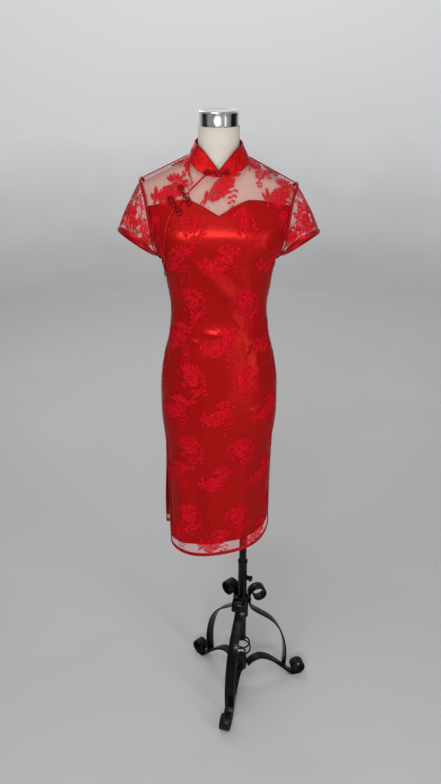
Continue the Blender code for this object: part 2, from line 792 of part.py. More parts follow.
# Where the two chest frogs' knots lie, x off the axis and height, and how they slant
ChestFrog = namedtuple("ChestFrog", "x z slant half_length")
CHEST_FROGS = (
    ChestFrog(-0.0780, 1.5940, -58, 0.0150),
    ChestFrog(-0.1010, 1.5710, -52, 0.0140),
)
NECK_FROG_X = -0.005
NECK_FROG_Z = 1.641
NECK_FROG_HALF_LENGTH = 0.024
NECK_FROG_BEND = 0.0690  # radius of the curve that it follows
NECK_FROG_LIFT = COLLAR_LAYER[1] + TOUCH + CORD + 0.0012


def frog_half(way, half_length):
    """One half of a frog, flat: a coiled rosette and the cord that leads from it to the middle.

    Each row is how far along the frog, how far across it, and the cord's radius. The half with
    the knot runs one way, and the half that loops round the knot runs the other.
    """
    rows = []
    for k in range(ROSETTE_STEPS + 1):
        turn = 2 * math.pi * ROSETTE_TURNS * k / ROSETTE_STEPS
        r = ROSETTE_START + ROSETTE_PITCH * turn / (2 * math.pi)
        a = turn - 2 * math.pi * ROSETTE_TURNS + math.radians(ROSETTE_END)
        rows.append((half_length + r * math.cos(a), r * math.sin(a), CORD))
    rows += [(half_length + p, q, CORD) for p, q in ROSETTE_TAIL]
    if way < 0:
        rows.append((KNOT + LOOP_GAP, 0.0, CORD))
        return [(-p, q, r) for p, q, r in rows]
    rows.append((KNOT, 0.0, CORD))
    for k in range(1, KNOT_STEPS):
        a = math.pi * k / KNOT_STEPS
        rows.append((KNOT * math.cos(a), 0.0, max(KNOT * math.sin(a), CORD * 0.7)))
    return rows


def on_chest(frog):
    """A place on the chest for a frog's flat coordinates: a point and its lift."""

    def place(p, q):
        a = math.radians(frog.slant)
        x = frog.x + p * math.cos(a) - q * math.sin(a)
        z = frog.z + p * math.sin(a) + q * math.cos(a)
        here = chest_point(FRONT, x, z)
        across = chest_point(FRONT, x + 0.001, z) - here
        up = chest_point(FRONT, x, z + 0.001) - here
        return here, unit(np.cross(across, up))

    return place


def on_collar(p, q):
    """A place on the front of the collar for the neck frog's flat coordinates."""
    x, z = NECK_FROG_X + p, NECK_FROG_Z + q

    def at(angle, z):
        foot, top = collar_point(angle, 0), collar_point(angle, 1)
        return foot + (top - foot) * (z - foot[2]) / (top[2] - foot[2])

    angle = math.degrees(math.asin(x / NECK_FROG_BEND))
    here = at(angle, z)
    across, up = at(angle + 0.5, z) - here, at(angle, z + 0.001) - here
    return here, unit(np.cross(across, up))


def make_frog(name, place, half_length, lift):
    for way, word in ((-1, "loop"), (1, "knot")):
        path, radii = [], []
        for p, q, r in frog_half(way, half_length):
            here, normal = place(p, q)
            path.append(here + normal * (lift + r - CORD))
            radii.append(r)
        swept(f"frog_{name}_{word}", path, radii, CORD_SIDES, BINDING)


def make_frogs():
    make_frog("neck", on_collar, NECK_FROG_HALF_LENGTH, NECK_FROG_LIFT)
    for word, frog in zip(("upper", "lower"), CHEST_FROGS):
        make_frog(word, on_chest(frog), frog.half_length, FROG_LIFT)


# ------------------------------------------------------------------------------------- dress form

NECK_HALF, NECK_DEPTH = 0.0485, 0.0450
NECK_Y = -0.001
NECK_FOOT_TOP = 1.700
# How far each ring of the neck has come in, and how far up, from the neckline to the neck's foot
NECK_CURVE = ((0.60, 0.25), (0.86, 0.50), (0.97, 0.78), (1.00, 1.00))
FORM_ROWS = 9
TOP_SINK = 0.0040  # how much deeper its shoulder line and neck's foot lie
ARM_PLATE_BULGE = 0.004
CAP_RADIUS = 0.0455
CAP_EDGE = 0.004
CAP_LIP = 0.001
FLANGE_RADIUS = 0.040
FLANGE_HEIGHT = 0.012
FLANGE_EDGE = 0.004


def form_rows(side):
    """Half of the form's surface, from its foot to the shoulder line and the neck's foot."""
    columns = base_columns()
    rows = [[(s, skirt_t(z, side, s)) for s in columns] for z in np.linspace(FORM_BOTTOM, UNDERARM, FORM_ROWS)]
    rows += [[(s, t) for s in columns] for t in np.linspace(1, 2, CHEST_ROWS + 1)[1:]]
    surface = front_surface if side == FRONT else back_surface
    points, normals = sheet(surface, rows, flip=side == BACK)
    sink = np.full(len(rows), FORM_CLEARANCE)
    sink[-2:] += TOP_SINK / 2, TOP_SINK
    return points - normals * sink[:, None, None]


def neck_rings(loop):
    """Rings of the neck from the loop at its foot up to the cap."""
    rings = []
    for w, z in NECK_CURVE:
        ring = []
        for p in loop:
            a = math.atan2(p[0] - FORM_X, -(p[1] - FORM_Y - NECK_Y))
            goal = np.array(
                (
                    FORM_X + NECK_HALF * math.sin(a),
                    FORM_Y + NECK_Y - NECK_DEPTH * math.cos(a),
                    NECK_FOOT_TOP,
                )
            )
            ring.append([p[k] + (goal[k] - p[k]) * (w if k < 2 else z) for k in range(3)])
        rings.append(np.array(ring))
    top = rings[-1].copy()
    top[:, 2] = NECK_TOP - TOUCH
    return rings + [top]


def make_form():
    """The torso: front and back halves that share their sides and shoulders, arm plates and neck."""
    front, back = form_rows(FRONT), form_rows(BACK)
    low = FORM_ROWS
    for half in (0, -1):
        shared = (front[:low, half] + back[:low, half]) / 2
        front[:low, half] = back[:low, half] = shared
    shared = (front[-1] + back[-1]) / 2
    outer = abs(base_columns()) >= NECK_SHARE - 1e-6
    front[-1][outer] = back[-1][outer] = shared[outer]
    points, faces = [], []

    def add(rows):
        first = len(points)
        points.extend(tuple(p) for row in rows for p in row)
        count = len(rows[0])
        for i in range(len(rows) - 1):
            for j in range(count - 1):
                a = first + i * count + j
                faces.append((a, a + 1, a + count + 1, a + count))

    def cap(loop, heart):
        first = len(points)
        points.extend([tuple(p) for p in loop] + [tuple(heart)])
        last = first + len(loop)
        for k in range(len(loop)):
            faces.append((first + k, first + (k + 1) % len(loop), last))

    add(front)
    add(back)
    neck = [j for j, s in enumerate(base_columns()) if abs(s) <= NECK_SHARE + 1e-6]
    loop = np.array([front[-1][j] for j in neck] + [back[-1][j] for j in neck[::-1][1:-1]])
    rings = [loop] + neck_rings(loop)
    add([np.concatenate([ring, ring[:1]]) for ring in rings])
    cap(rings[-1], rings[-1].mean(axis=0))
    foot = np.concatenate([front[0], back[0][::-1][1:-1]])
    cap(foot, foot.mean(axis=0))
    for end, side in ((0, LEFT), (-1, RIGHT)):
        edge = np.concatenate([front[low - 1 :, end], back[low:-1, end][::-1]])
        cap(edge, edge.mean(axis=0) + (side * ARM_PLATE_BULGE, 0, 0))
    add_solid("form_torso", points, faces, JERSEY)


def make_cap():
    r, rise = CAP_RADIUS, CAP_TOP - NECK_TOP
    corner = []
    for degrees in (0, 25, 50, 75, 90):
        a = math.radians(degrees)
        corner.append((r - CAP_EDGE * (1 - math.sin(a)), rise - CAP_EDGE * (1 - math.cos(a))))
    profile = [(0, rise), *corner, (r, CAP_LIP), (r - CAP_LIP, 0), (0, 0)]
    lathed("neck_cap", profile, (FORM_X, FORM_Y + NECK_Y, NECK_TOP), CHROME, sides=32)


# ------------------------------------------------------------------------------------------ stand

POLE_RADIUS = 0.0110
TUBE_RADIUS = 0.0135
TUBE_BORE = POLE_RADIUS + 0.0003
TUBE_FOOT, TUBE_TOP = 0.190, 0.497
POLE_FOOT = 0.300
LEG_ANGLES = (("front", -15.7), ("right", 104.3), ("left", 224.3))
STRAP_WIDTH = 0.030
STRAP_THICKNESS = 0.0045
COLLAR_RING = (0.285, 0.345, 0.0190)  # foot, top and radius
HUB_FOOT, HUB_TOP, HUB_RADIUS = 0.066, 0.118, 0.0170
COIL_RADIUS, COIL_ENDS, COIL_ROD, COIL_TURNS = 0.0280, 0.0100, 0.0026, 2.25
COIL_SWELL = 2.2  # how fast it widens from its ends
COIL_STEPS = 32
SCREW_Z = 0.436
SCREW_ANGLE = 62.0
SCREW_OUT = (math.sin(math.radians(SCREW_ANGLE)), -math.cos(math.radians(SCREW_ANGLE)), 0.0)
SCREW_CENTRE = (POLE_X, POLE_Y, SCREW_Z)
SCREW_RADIUS, SCREW_HOLE = 0.0030, 0.0034
BOSS_RADIUS, BOSS_FACE = 0.0075, 0.0205
KNOB_FOOT = BOSS_FACE + 0.0020
# The knob's outline: radius, and height over its foot
KnobRow = namedtuple("KnobRow", "r h")
KNOB = (
    KnobRow(SCREW_RADIUS, 0.0000),
    KnobRow(0.0080, 0.0015),
    KnobRow(0.0095, 0.0045),
    KnobRow(0.0080, 0.0080),
    KnobRow(0.0045, 0.0095),
)

# The straps' middle lines: distance from the pole's axis, and height
RailRow = namedtuple("RailRow", "r z")
UPPER_RAIL = (
    RailRow(0.0216, 0.342),
    RailRow(0.0216, 0.330),
    RailRow(0.0262, 0.317),
    RailRow(0.0410, 0.300),
    RailRow(0.0620, 0.282),
    RailRow(0.0870, 0.260),
    RailRow(0.1080, 0.235),
    RailRow(0.1290, 0.194),
    RailRow(0.1430, 0.141),
    RailRow(0.1470, 0.091),
    RailRow(0.1440, 0.0412),
)
LOWER_RAIL = (
    RailRow(0.0188, 0.0790),
    RailRow(0.0400, 0.0955),
    RailRow(0.0650, 0.1000),
    RailRow(0.0950, 0.0850),
    RailRow(0.1250, 0.0560),
    RailRow(0.1500, 0.0280),
    RailRow(0.1660, 0.0100),
)
# A curl's middle, the radius where it starts and where it ends, its start and its turn in degrees
Curl = namedtuple("Curl", "r z wide narrow start turn")
SCROLL = Curl(0.0500, 0.3640, 0.0295, 0.0150, 205, -390)
FOOT_CURL = Curl(0.1900, 0.0262 + STRAP_THICKNESS / 2, 0.0262, 0.0135, -90, 400)
FOOT_FLAT_START = 0.1765
RAIL_STEPS = 18
CURL_STEPS = 14


def spline(rows, steps):
    """Evenly spread points of a smooth curve through the rows."""
    p = np.array(rows, float)
    p = np.vstack([2 * p[0] - p[1], p, 2 * p[-1] - p[-2]])
    out = []
    for i in range(1, len(p) - 2):
        for u in np.linspace(0, 1, 12, endpoint=False):
            a, b, c, d = p[i - 1 : i + 3]
            out.append(0.5 * (2 * b + (c - a) * u + (2 * a - 5 * b + 4 * c - d) * u**2 + (3 * b - a - 3 * c + d) * u**3))
    out.append(p[-2])
    out = np.array(out)
    length = np.concatenate([[0], np.cumsum(np.linalg.norm(np.diff(out, axis=0), axis=1))])
    at = np.linspace(0, length[-1], steps)
    return np.stack([np.interp(at, length, out[:, k]) for k in (0, 1)], axis=1)


def curled(curl):
    """A spiral in the leg's plane whose radius shrinks over its turn."""
    points = []
    for w in np.linspace(0, 1, CURL_STEPS + 1):
        a = math.radians(curl.start + curl.turn * w)
        reach = curl.wide + (curl.narrow - curl.wide) * w
        points.append((curl.r + reach * math.cos(a), curl.z + reach * math.sin(a)))
    return points


def strap(name, line, angle):
    """A flat bar whose middle line lies in the upright plane at an angle round the pole."""
    line = np.array(line)
    way = unit(np.gradient(line, axis=0))
    beside = np.stack([-way[:, 1], way[:, 0]], axis=1) * STRAP_THICKNESS / 2
    a = math.radians(angle)
    out, across = np.array((math.sin(a), -math.cos(a), 0)), np.array((math.cos(a), math.sin(a), 0))
    points = []
    for p, b in zip(line, beside):
        for side, face in ((-1, -1), (1, -1), (1, 1), (-1, 1)):
            r, z = p + face * b
            points.append((POLE_X, POLE_Y, z) + out * r + across * side * STRAP_WIDTH / 2)
    faces = [(0, 1, 2, 3)]
    for i in range(len(line) - 1):
        for k in range(4):
            j = (k + 1) % 4
            faces.append((4 * i + k, 4 * i + j, 4 * i + 4 + j, 4 * i + 4 + k))
    last = 4 * len(line) - 4
    faces.append((last, last + 1, last + 2, last + 3))
    return add_solid(name, points, faces, IRON)


def make_legs():
    upper = [*curled(SCROLL)[::-1], *spline(UPPER_RAIL, RAIL_STEPS)]
    flat = RailRow(FOOT_FLAT_START, STRAP_THICKNESS / 2)
    lower = [*spline((*LOWER_RAIL, flat), RAIL_STEPS), *curled(FOOT_CURL)]
    for word, angle in LEG_ANGLES:
        strap("rail_upper_" + word, upper, angle)
        strap("rail_lower_" + word, lower, angle)


def make_coil():
    foot, top = HUB_TOP + COIL_ROD + TOUCH, TUBE_FOOT - COIL_ROD - TOUCH
    rows = []
    for w in np.linspace(0, 1, COIL_STEPS + 1):
        a = 2 * math.pi * COIL_TURNS * w
        r = COIL_ENDS + (COIL_RADIUS - COIL_ENDS) * min(1.0, math.sin(math.pi * w) * COIL_SWELL)
        rows.append((POLE_X + r * math.cos(a), POLE_Y + r * math.sin(a), foot + (top - foot) * w))
    swept("stand_coil", rows, COIL_ROD, 5, IRON)


def make_stand():
    axis = (POLE_X, POLE_Y, 0)
    make_legs()
    make_coil()
    foot, top, radius = COLLAR_RING
    inner = TUBE_RADIUS + TOUCH
    ring = [(inner, foot), (radius, foot), (radius, top), (inner, top)]
    lathed("stand_collar", ring, axis, IRON)
    lathed("stand_hub", [(0, HUB_TOP), (HUB_RADIUS, HUB_TOP), (HUB_RADIUS, HUB_FOOT), (0, HUB_FOOT)], axis, IRON)
    tube = [(TUBE_BORE, TUBE_FOOT), (TUBE_RADIUS, TUBE_FOOT), (TUBE_RADIUS, TUBE_TOP), (TUBE_BORE, TUBE_TOP)]
    bored(lathed("stand_tube", tube, axis, IRON))
    top = FORM_BOTTOM - TOUCH
    lathed("pole", [(0, top), (POLE_RADIUS, top), (POLE_RADIUS, POLE_FOOT), (0, POLE_FOOT)], axis, STEEL)
    r = POLE_RADIUS + TOUCH
    flange = [(r, top - FLANGE_HEIGHT), (r + FLANGE_EDGE, top - FLANGE_HEIGHT), (FLANGE_RADIUS, top - FLANGE_EDGE)]
    flange += [(FLANGE_RADIUS, top), (r, top)]
    lathed("form_flange", flange, axis, STEEL)


def bored(tube):
    """The hole through the tube's wall that the clamp's screw goes through."""
    near, far = TUBE_BORE / 2, TUBE_RADIUS * 1.5
    profile = [(0, near), (SCREW_HOLE, near), (SCREW_HOLE, far), (0, far)]
    tool = lathed("tool", profile, SCREW_CENTRE, IRON, sides=12, axis=SCREW_OUT)
    cut = tube.modifiers.new("bore", "BOOLEAN")
    cut.operation, cut.solver, cut.object = "DIFFERENCE", "EXACT", tool
    shape = tube.evaluated_get(bpy.context.evaluated_depsgraph_get())
    mesh = bpy.data.meshes.new_from_object(shape)
    tube.modifiers.clear()
    tube.data = mesh
    bpy.data.objects.remove(tool)


def make_clamp():
    """A boss on the tube and the thumb screw that goes through both to hold the pole."""
    foot = TUBE_RADIUS + 0.0005
    boss = [(SCREW_HOLE, foot), (BOSS_RADIUS, foot), (BOSS_RADIUS, BOSS_FACE), (SCREW_HOLE, BOSS_FACE)]
    lathed("clamp_boss", boss, SCREW_CENTRE, IRON, sides=12, axis=SCREW_OUT)
    tip = POLE_RADIUS + TOUCH
    screw = [(0, tip), (SCREW_RADIUS, tip)] + [(r, KNOB_FOOT + h) for r, h in KNOB] + [(0, KNOB_FOOT + KNOB[-1].h)]
    lathed("clamp_screw", screw, SCREW_CENTRE, IRON, sides=16, axis=SCREW_OUT)


def make_dress():
    lace = make_panels()
    make_sleeves()
    make_bindings(lace)
    make_frogs()


make_dress()
make_form()
make_cap()
make_stand()
make_clamp()
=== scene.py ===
# %% [markdown]
# # A red lace cheongsam on its dress form
#
# The real dress is cut in two layers. Satin lies next to the body, and a net with flowers
# worked into it lies over the satin. Above the bust and on the sleeves the net is alone, so the
# form shows through it. Everything stands on a limbless form, a black pole and an iron tripod.
#
# A dress like this could be draped by simulation over a body. Here the cloth is fitted and
# hardly moves, so each panel is a fine sheet on one worked-out body surface, and its creases
# are placed one by one. That keeps the seams meeting exactly.

# %% Load the frame
import math
from collections import namedtuple

import bmesh
import bpy
import numpy as np
from mathutils import Matrix, Vector


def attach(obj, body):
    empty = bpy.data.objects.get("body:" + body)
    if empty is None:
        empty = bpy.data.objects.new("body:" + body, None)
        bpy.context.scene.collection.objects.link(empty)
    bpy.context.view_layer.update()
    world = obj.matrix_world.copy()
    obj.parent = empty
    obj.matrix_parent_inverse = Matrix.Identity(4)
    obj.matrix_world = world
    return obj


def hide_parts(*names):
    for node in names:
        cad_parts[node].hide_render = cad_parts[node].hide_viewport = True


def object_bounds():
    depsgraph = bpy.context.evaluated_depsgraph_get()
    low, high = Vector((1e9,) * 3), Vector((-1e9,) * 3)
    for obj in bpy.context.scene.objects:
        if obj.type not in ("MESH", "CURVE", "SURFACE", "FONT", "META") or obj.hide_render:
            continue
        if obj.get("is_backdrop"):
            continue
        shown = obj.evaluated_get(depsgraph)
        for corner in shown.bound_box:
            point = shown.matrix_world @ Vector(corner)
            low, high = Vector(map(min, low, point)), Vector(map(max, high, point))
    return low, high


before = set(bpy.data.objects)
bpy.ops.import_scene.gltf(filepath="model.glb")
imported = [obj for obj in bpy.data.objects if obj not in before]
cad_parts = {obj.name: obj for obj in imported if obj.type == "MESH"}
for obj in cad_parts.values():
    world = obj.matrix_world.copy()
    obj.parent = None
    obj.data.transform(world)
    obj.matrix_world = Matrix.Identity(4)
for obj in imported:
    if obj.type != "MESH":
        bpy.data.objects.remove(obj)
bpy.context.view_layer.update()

# %% [markdown]
# ## Camera
#
# The camera stands a little higher than the neck cap and looks down, so the whole form fits in an
# upright picture, from the cap to the feet of the stand. It could follow a target object. A place
# and a tilt in plain numbers are simpler, and they are the same on every run.

# %% Things in the scene, and the camera
def put(name, data):
    """An object made of a mesh, a curve, a lamp or a camera, linked to the scene."""
    made = bpy.data.objects.new(name, data)
    bpy.context.scene.collection.objects.link(made)
    return made


IMAGE_HEIGHT_PX = 784
FOCAL_PX = 771.5
SENSOR = 36.0
CAMERA_PLACE = (-0.0134, -1.8476, 1.960)
CAMERA_TILT = 64.25

camera_data = bpy.data.cameras.new("camera")
camera_data.sensor_fit = "VERTICAL"
camera_data.sensor_width = camera_data.sensor_height = SENSOR
camera_data.lens = FOCAL_PX / IMAGE_HEIGHT_PX * SENSOR
camera = put("camera", camera_data)
camera.location = CAMERA_PLACE
camera.rotation_euler = (math.radians(CAMERA_TILT), 0, 0)
bpy.context.scene.camera = camera
print(f"the lens is {camera_data.lens:.1f} mm")

# %% Shared values
LEFT, RIGHT = -1, 1
FRONT, BACK = -1, 1
FORM_X, FORM_Y = -0.0174, 0.0234
POLE_X, POLE_Y = FORM_X + 0.071, FORM_Y
MM = 0.001
SIDES = ((LEFT, "left"), (RIGHT, "right"))

# %% [markdown]
# ## How the finishes are written
#
# A pattern is easier to read as a sum than as a web of nodes. `Shade` holds one node output, and
# Python's own signs make the Math nodes: `1 - mask * 0.4` adds two of them. `Finish.add` makes any
# other node from its kind, its settings and what goes into it.

# %% The pattern helper
class Shade:
    """A number that varies over a surface, for use in sums."""

    def __init__(self, finish, socket):
        self.finish, self.socket = finish, socket

    def math(self, operation, *values):
        return self.finish.add("ShaderNodeMath", {"operation": operation}, dict(enumerate(values)))

    def __add__(self, other):
        return self.math("ADD", self, other)

    def __sub__(self, other):
        return self.math("SUBTRACT", self, other)

    def __rsub__(self, other):
        return self.math("SUBTRACT", other, self)

    def __mul__(self, other):
        return self.math("MULTIPLY", self, other)

    def __truediv__(self, other):
        return self.math("DIVIDE", self, other)

    __radd__, __rmul__ = __add__, __mul__

    def sine(self):
        return self.math("SINE", self)

    def size(self):
        return self.math("ABSOLUTE", self)

    def held(self):
        """Kept from 0 to 1."""
        return self.finish.add("ShaderNodeClamp", {}, {0: self})


class Finish:
    """One finish: a material, its main shader and the ways to feed it."""

    def __init__(self, name, colour, roughness, **constants):
        self.material = bpy.data.materials.new(name)
        self.material.use_nodes = True
        self.tree = self.material.node_tree
        self.shader = self.tree.nodes["Principled BSDF"]
        self.shader.inputs["Base Color"].default_value = (*colour, 1)
        self.shader.inputs["Roughness"].default_value = roughness
        for word, value in constants.items():
            self.input(word).default_value = value

    def input(self, word):
        """A socket of the main shader: base_color is its Base Color."""
        return self.shader.inputs[word.replace("_", " ").title().replace("Ior", "IOR")]

    def add(self, kind, settings, values, output=0):
        """Any node: its kind, its settings, then the value or link of each socket."""
        node = self.tree.nodes.new(kind)
        for name, value in settings.items():
            setattr(node, name, value)
        for key, value in values.items():
            self.feed(node.inputs[key], value)
        return Shade(self, node.outputs[output])

    def feed(self, socket, value):
        if isinstance(value, Shade):
            self.tree.links.new(value.socket, socket)
        elif socket.type == "RGBA" and len(value) == 3:
            socket.default_value = (*value, 1)
        else:
            socket.default_value = value

    def place(self, source="Object"):
        return self.add("ShaderNodeTexCoord", {}, {}, source)

    def scaled(self, place, scale):
        return self.add("ShaderNodeVectorMath", {"operation": "MULTIPLY"}, {0: place, 1: scale})

    def axes(self, place):
        split = self.add("ShaderNodeSeparateXYZ", {}, {0: place}).socket.node
        return [Shade(self, output) for output in split.outputs]

    def noise(self, place, scale, detail=2.0):
        values = {"Vector": place, "Scale": scale, "Detail": detail}
        return self.add("ShaderNodeTexNoise", {}, values)

    def seams(self, place, scale):
        """How far a place is from the edges of a pattern of small cells."""
        settings = {"feature": "DISTANCE_TO_EDGE"}
        return self.add("ShaderNodeTexVoronoi", settings, {"Vector": place, "Scale": scale})

    def attribute(self, name):
        return self.add("ShaderNodeAttribute", {"attribute_name": name}, {}, "Fac")

    def blend(self, share, a, b):
        """Colour a where share is 0, b where it is 1."""
        return self.add("ShaderNodeMix", {"data_type": "RGBA"}, {0: share, 6: a, 7: b}, 2)

    def bump(self, height, distance, strength=1.0):
        """The Normal input's relief: height from 0 to 1, distance in metres."""
        values = {"Height": height, "Distance": distance, "Strength": strength}
        self.set(normal=self.add("ShaderNodeBump", {}, values))

    def set(self, **values):
        for word, value in values.items():
            self.feed(self.input(word), value)

# %% [markdown]
# ## The body that the cloth hangs on
#
# One surface carries everything. It is worked out from a table of cross-sections: at each height
# a half-width, a depth before and behind, and how square the section is. The form lies 3 mm inside
# it, the satin on it, the lace just over that and the trimmings outside. Sculpting would be quicker
# for one shape, but two layers made from one surface never cut through each other.

# %% The body's sizes
UNDERARM = 1.432
SHOULDER_TIP, SIDE_NECK = 1.611, 1.671
SIDE_NECK_HALF, SHOULDER_HALF = 0.067, 0.186
SHOULDER_SLOPE = (SIDE_NECK - SHOULDER_TIP) / (SHOULDER_HALF - SIDE_NECK_HALF)
SHOULDER_LEAN = 0.006
NECK_SHARE = 0.30
NECK_DROP = {FRONT: 0.036, BACK: -0.004}
SLIT_FLARE, SLIT_FLARE_TOP, SLIT_FLARE_REACH = 0.06, 0.92, 0.20
BUST_ANGLE, BUST_ANGLE_SPREAD = 42.0, 20.0
BUST_Z, BUST_Z_SPREAD, BUST_RISE = 1.500, 0.042, 0.012
HALVINGS = 30


def table(columns, *rows):
    """A table whose rows know their columns by name."""
    row = namedtuple("row", columns)
    return [row(*values) for values in rows]


BODY = table(
    "z half front back corner yaw",
    (0.540, 0.142, 0.097, 0.099, 2.10, 15.0),
    (0.660, 0.142, 0.095, 0.099, 2.10, 13.0),
    (0.780, 0.141, 0.094, 0.100, 2.15, 10.0),
    (0.919, 0.143, 0.098, 0.108, 2.20, 6.0),
    (1.012, 0.153, 0.103, 0.121, 2.25, 3.0),
    (1.084, 0.152, 0.105, 0.125, 2.25, 1.0),
    (1.180, 0.139, 0.102, 0.113, 2.25, 0.0),
    (1.236, 0.126, 0.097, 0.100, 2.20, 0.0),
    (1.305, 0.120, 0.091, 0.088, 2.20, 0.0),
    (1.370, 0.128, 0.102, 0.093, 2.25, 0.0),
    (1.432, 0.140, 0.112, 0.099, 2.35, 0.0),
    (1.465, 0.160, 0.116, 0.101, 2.40, 0.0),
    (1.505, 0.176, 0.117, 0.101, 2.40, 0.0),
    (1.550, 0.188, 0.108, 0.098, 2.40, 0.0),
    (1.600, 0.197, 0.094, 0.092, 2.40, 0.0),
    (1.720, 0.205, 0.080, 0.086, 2.40, 0.0),
)
ARMHOLE = table(
    "height out",
    (0.00, 0.00),
    (0.10, 0.19),
    (0.33, 0.37),
    (0.58, 0.52),
    (0.85, 0.74),
    (1.00, 1.00),
)
Hem = namedtuple("Hem", "low climb corner_left corner_right")
LACE_HEM = {FRONT: Hem(0.578, 0.032, 0.020, 0.045), BACK: Hem(0.604, 0.010, 0.060, 0.045)}
LINING_HEM = {FRONT: Hem(0.618, 0.030, 0.0, 0.030), BACK: Hem(0.630, 0.010, 0.056, 0.042)}
CORNER_START, CORNER_POWER = 0.30, 1.8
OPENING = table(
    "z x",
    (1.385, -0.1300),
    (1.430, -0.1290),
    (1.477, -0.1260),
    (1.516, -0.1250),
    (1.537, -0.1190),
    (1.558, -0.1080),
    (1.586, -0.0855),
    (1.615, -0.0600),
    (1.628, -0.0460),
    (1.645, -0.0270),
)
SWEETHEART = table(
    "x z",
    (0.000, 1.555),
    (0.022, 1.567),
    (0.045, 1.579),
    (0.072, 1.587),
    (0.095, 1.585),
    (0.140, 1.575),
    (0.190, 1.560),
)

# %% Curves through the tables
def unit(v):
    return v / np.linalg.norm(v, axis=-1, keepdims=True)


def lengths(points, axis=0):
    """How far each point lies along its line, from 0 at the first one."""
    steps = np.linalg.norm(np.diff(points, axis=axis), axis=-1)
    start = np.zeros_like(np.take(steps, [0], axis=axis))
    return np.concatenate([start, np.cumsum(steps, axis=axis)], axis=axis)


def curve_between(a, b, c, d, u):
    """A smooth curve from b to c, led by the marks before and after them."""
    square, cube = 2 * a - 5 * b + 4 * c - d, 3 * b - a - 3 * c + d
    return 0.5 * (2 * b + (c - a) * u + square * u**2 + cube * u**3)


def boundary(low, high, holds):
    """The last two guesses, by halving, at where a test that holds at low stops holding."""
    for _ in range(HALVINGS):
        middle = (low + high) / 2
        yes = holds(middle)
        low, high = np.where(yes, middle, low), np.where(yes, high, middle)
    return low, high


def smooth_rows(rows, column):
    """Heights, values and slopes of one column of a table, for a curve that never overshoots."""
    x = np.array([row[0] for row in rows], float)
    y = np.array([getattr(row, column) for row in rows], float)
    step = np.diff(y) / np.diff(x)
    slope = np.zeros_like(y)
    rising = step[:-1] * step[1:] > 0
    slope[1:-1][rising] = 2 * (step[:-1] * step[1:])[rising] / (step[:-1] + step[1:])[rising]
    slope[0], slope[-1] = step[0], step[-1]
    return x, y, slope


def read(curve, at):
    """The value of a smooth_rows curve at a height, or at many."""
    x, y, slope = curve
    at = np.clip(at, x[0], x[-1])
    i = np.clip(np.searchsorted(x, at) - 1, 0, len(x) - 2)
    span = x[i + 1] - x[i]
    u = (at - x[i]) / span
    rest = 1 - u
    ends = y[i] * (1 + 2 * u) * rest**2 + y[i + 1] * (1 + 2 * rest) * u**2
    return ends + span * u * rest * (slope[i] * rest - slope[i + 1] * u)


def ease(u):
    """0 to 1 with level ends."""
    u = np.clip(u, 0, 1)
    return u * u * (3 - 2 * u)


HALF, FRONT_DEPTH, BACK_DEPTH, CORNER, YAW = (
    smooth_rows(BODY, column) for column in ("half", "front", "back", "corner", "yaw")
)
ARMHOLE_OUT = smooth_rows(ARMHOLE, "out")
OPENING_X = smooth_rows(OPENING, "x")
SWEETHEART_Z = smooth_rows(SWEETHEART, "z")
hips, waist = (2 * BODY[row].half / MM for row in (4, 8))
print(f"the waist is {waist:.0f} mm across and the hips {hips:.0f} mm")

# %% The shoulder line and the bust
def ridge(x):
    """Height of the shoulder line over a place x off the axis."""
    return SIDE_NECK - (np.abs(x) - SIDE_NECK_HALF) * SHOULDER_SLOPE


def bust(angle, z):
    """How far the darts let the front stand out."""
    across = np.exp(-(((np.abs(angle) - BUST_ANGLE) / BUST_ANGLE_SPREAD) ** 2))
    return BUST_RISE * across * np.exp(-(((z - BUST_Z) / BUST_Z_SPREAD) ** 2))


def placed(x, y, z, yaw=0.0):
    """Body points in the model's frame, turned with the skirt and leaning with the shoulders."""
    turn = np.radians(yaw)
    lean = SHOULDER_LEAN * x / SHOULDER_HALF * ease((z - UNDERARM) / (SHOULDER_TIP - UNDERARM))
    east = FORM_X + x * np.cos(turn) - y * np.sin(turn)
    north = FORM_Y + x * np.sin(turn) + y * np.cos(turn)
    return np.stack(np.broadcast_arrays(east, north, z - lean), axis=-1)


def signed_power(value, power):
    """A power of a number's size, with the number's own sign."""
    return np.copysign(np.abs(value) ** power, value)


# %% Places on the body
def skirt_points(angle, z):
    """The body below the underarm, at angles from the front, in degrees, right positive."""
    a = np.radians(angle)
    power = 2 / read(CORNER, z)
    ahead = np.cos(a) > 0
    x = read(HALF, z) * signed_power(np.sin(a), power)
    depth = np.where(ahead, read(FRONT_DEPTH, z), read(BACK_DEPTH, z))
    y = -depth * signed_power(np.cos(a), power) - np.where(ahead, bust(angle, z), 0.0)
    flare = np.where(ahead | (x >= 0), 0.0, SLIT_FLARE)
    flare = flare * ease((SLIT_FLARE_TOP - z) / SLIT_FLARE_REACH)
    return placed(x * (1 + flare * np.abs(np.sin(a)) ** 4), y, z, read(YAW, z))


def chest_points(side, x, z):
    """The body above the underarm, x off the axis, on the front or the back."""
    corner = read(CORNER, z)
    share = np.minimum(np.abs(x) / read(HALF, z), 1.0)
    across = (1 - share**corner) ** (1 / corner)
    up = np.clip((z - UNDERARM) / (ridge(x) - UNDERARM), 0.0, 1.0)
    arch = (1 - up**3) ** (1 / 3)
    depth = read(FRONT_DEPTH if side == FRONT else BACK_DEPTH, z)
    if side == FRONT:
        depth = depth + bust(np.degrees(np.arcsin(share)), z)
    return placed(x, side * depth * across * arch, z)


def hem_height(hem, s):
    """Height of a hem: it climbs to the right and its corners at the slits are rounded."""
    corner = np.where(s < 0, hem.corner_left, hem.corner_right)
    curve = np.maximum((np.abs(s) - CORNER_START) / (1 - CORNER_START), 0.0) ** CORNER_POWER
    return hem.low + hem.climb * (s + 1) / 2 + corner * curve


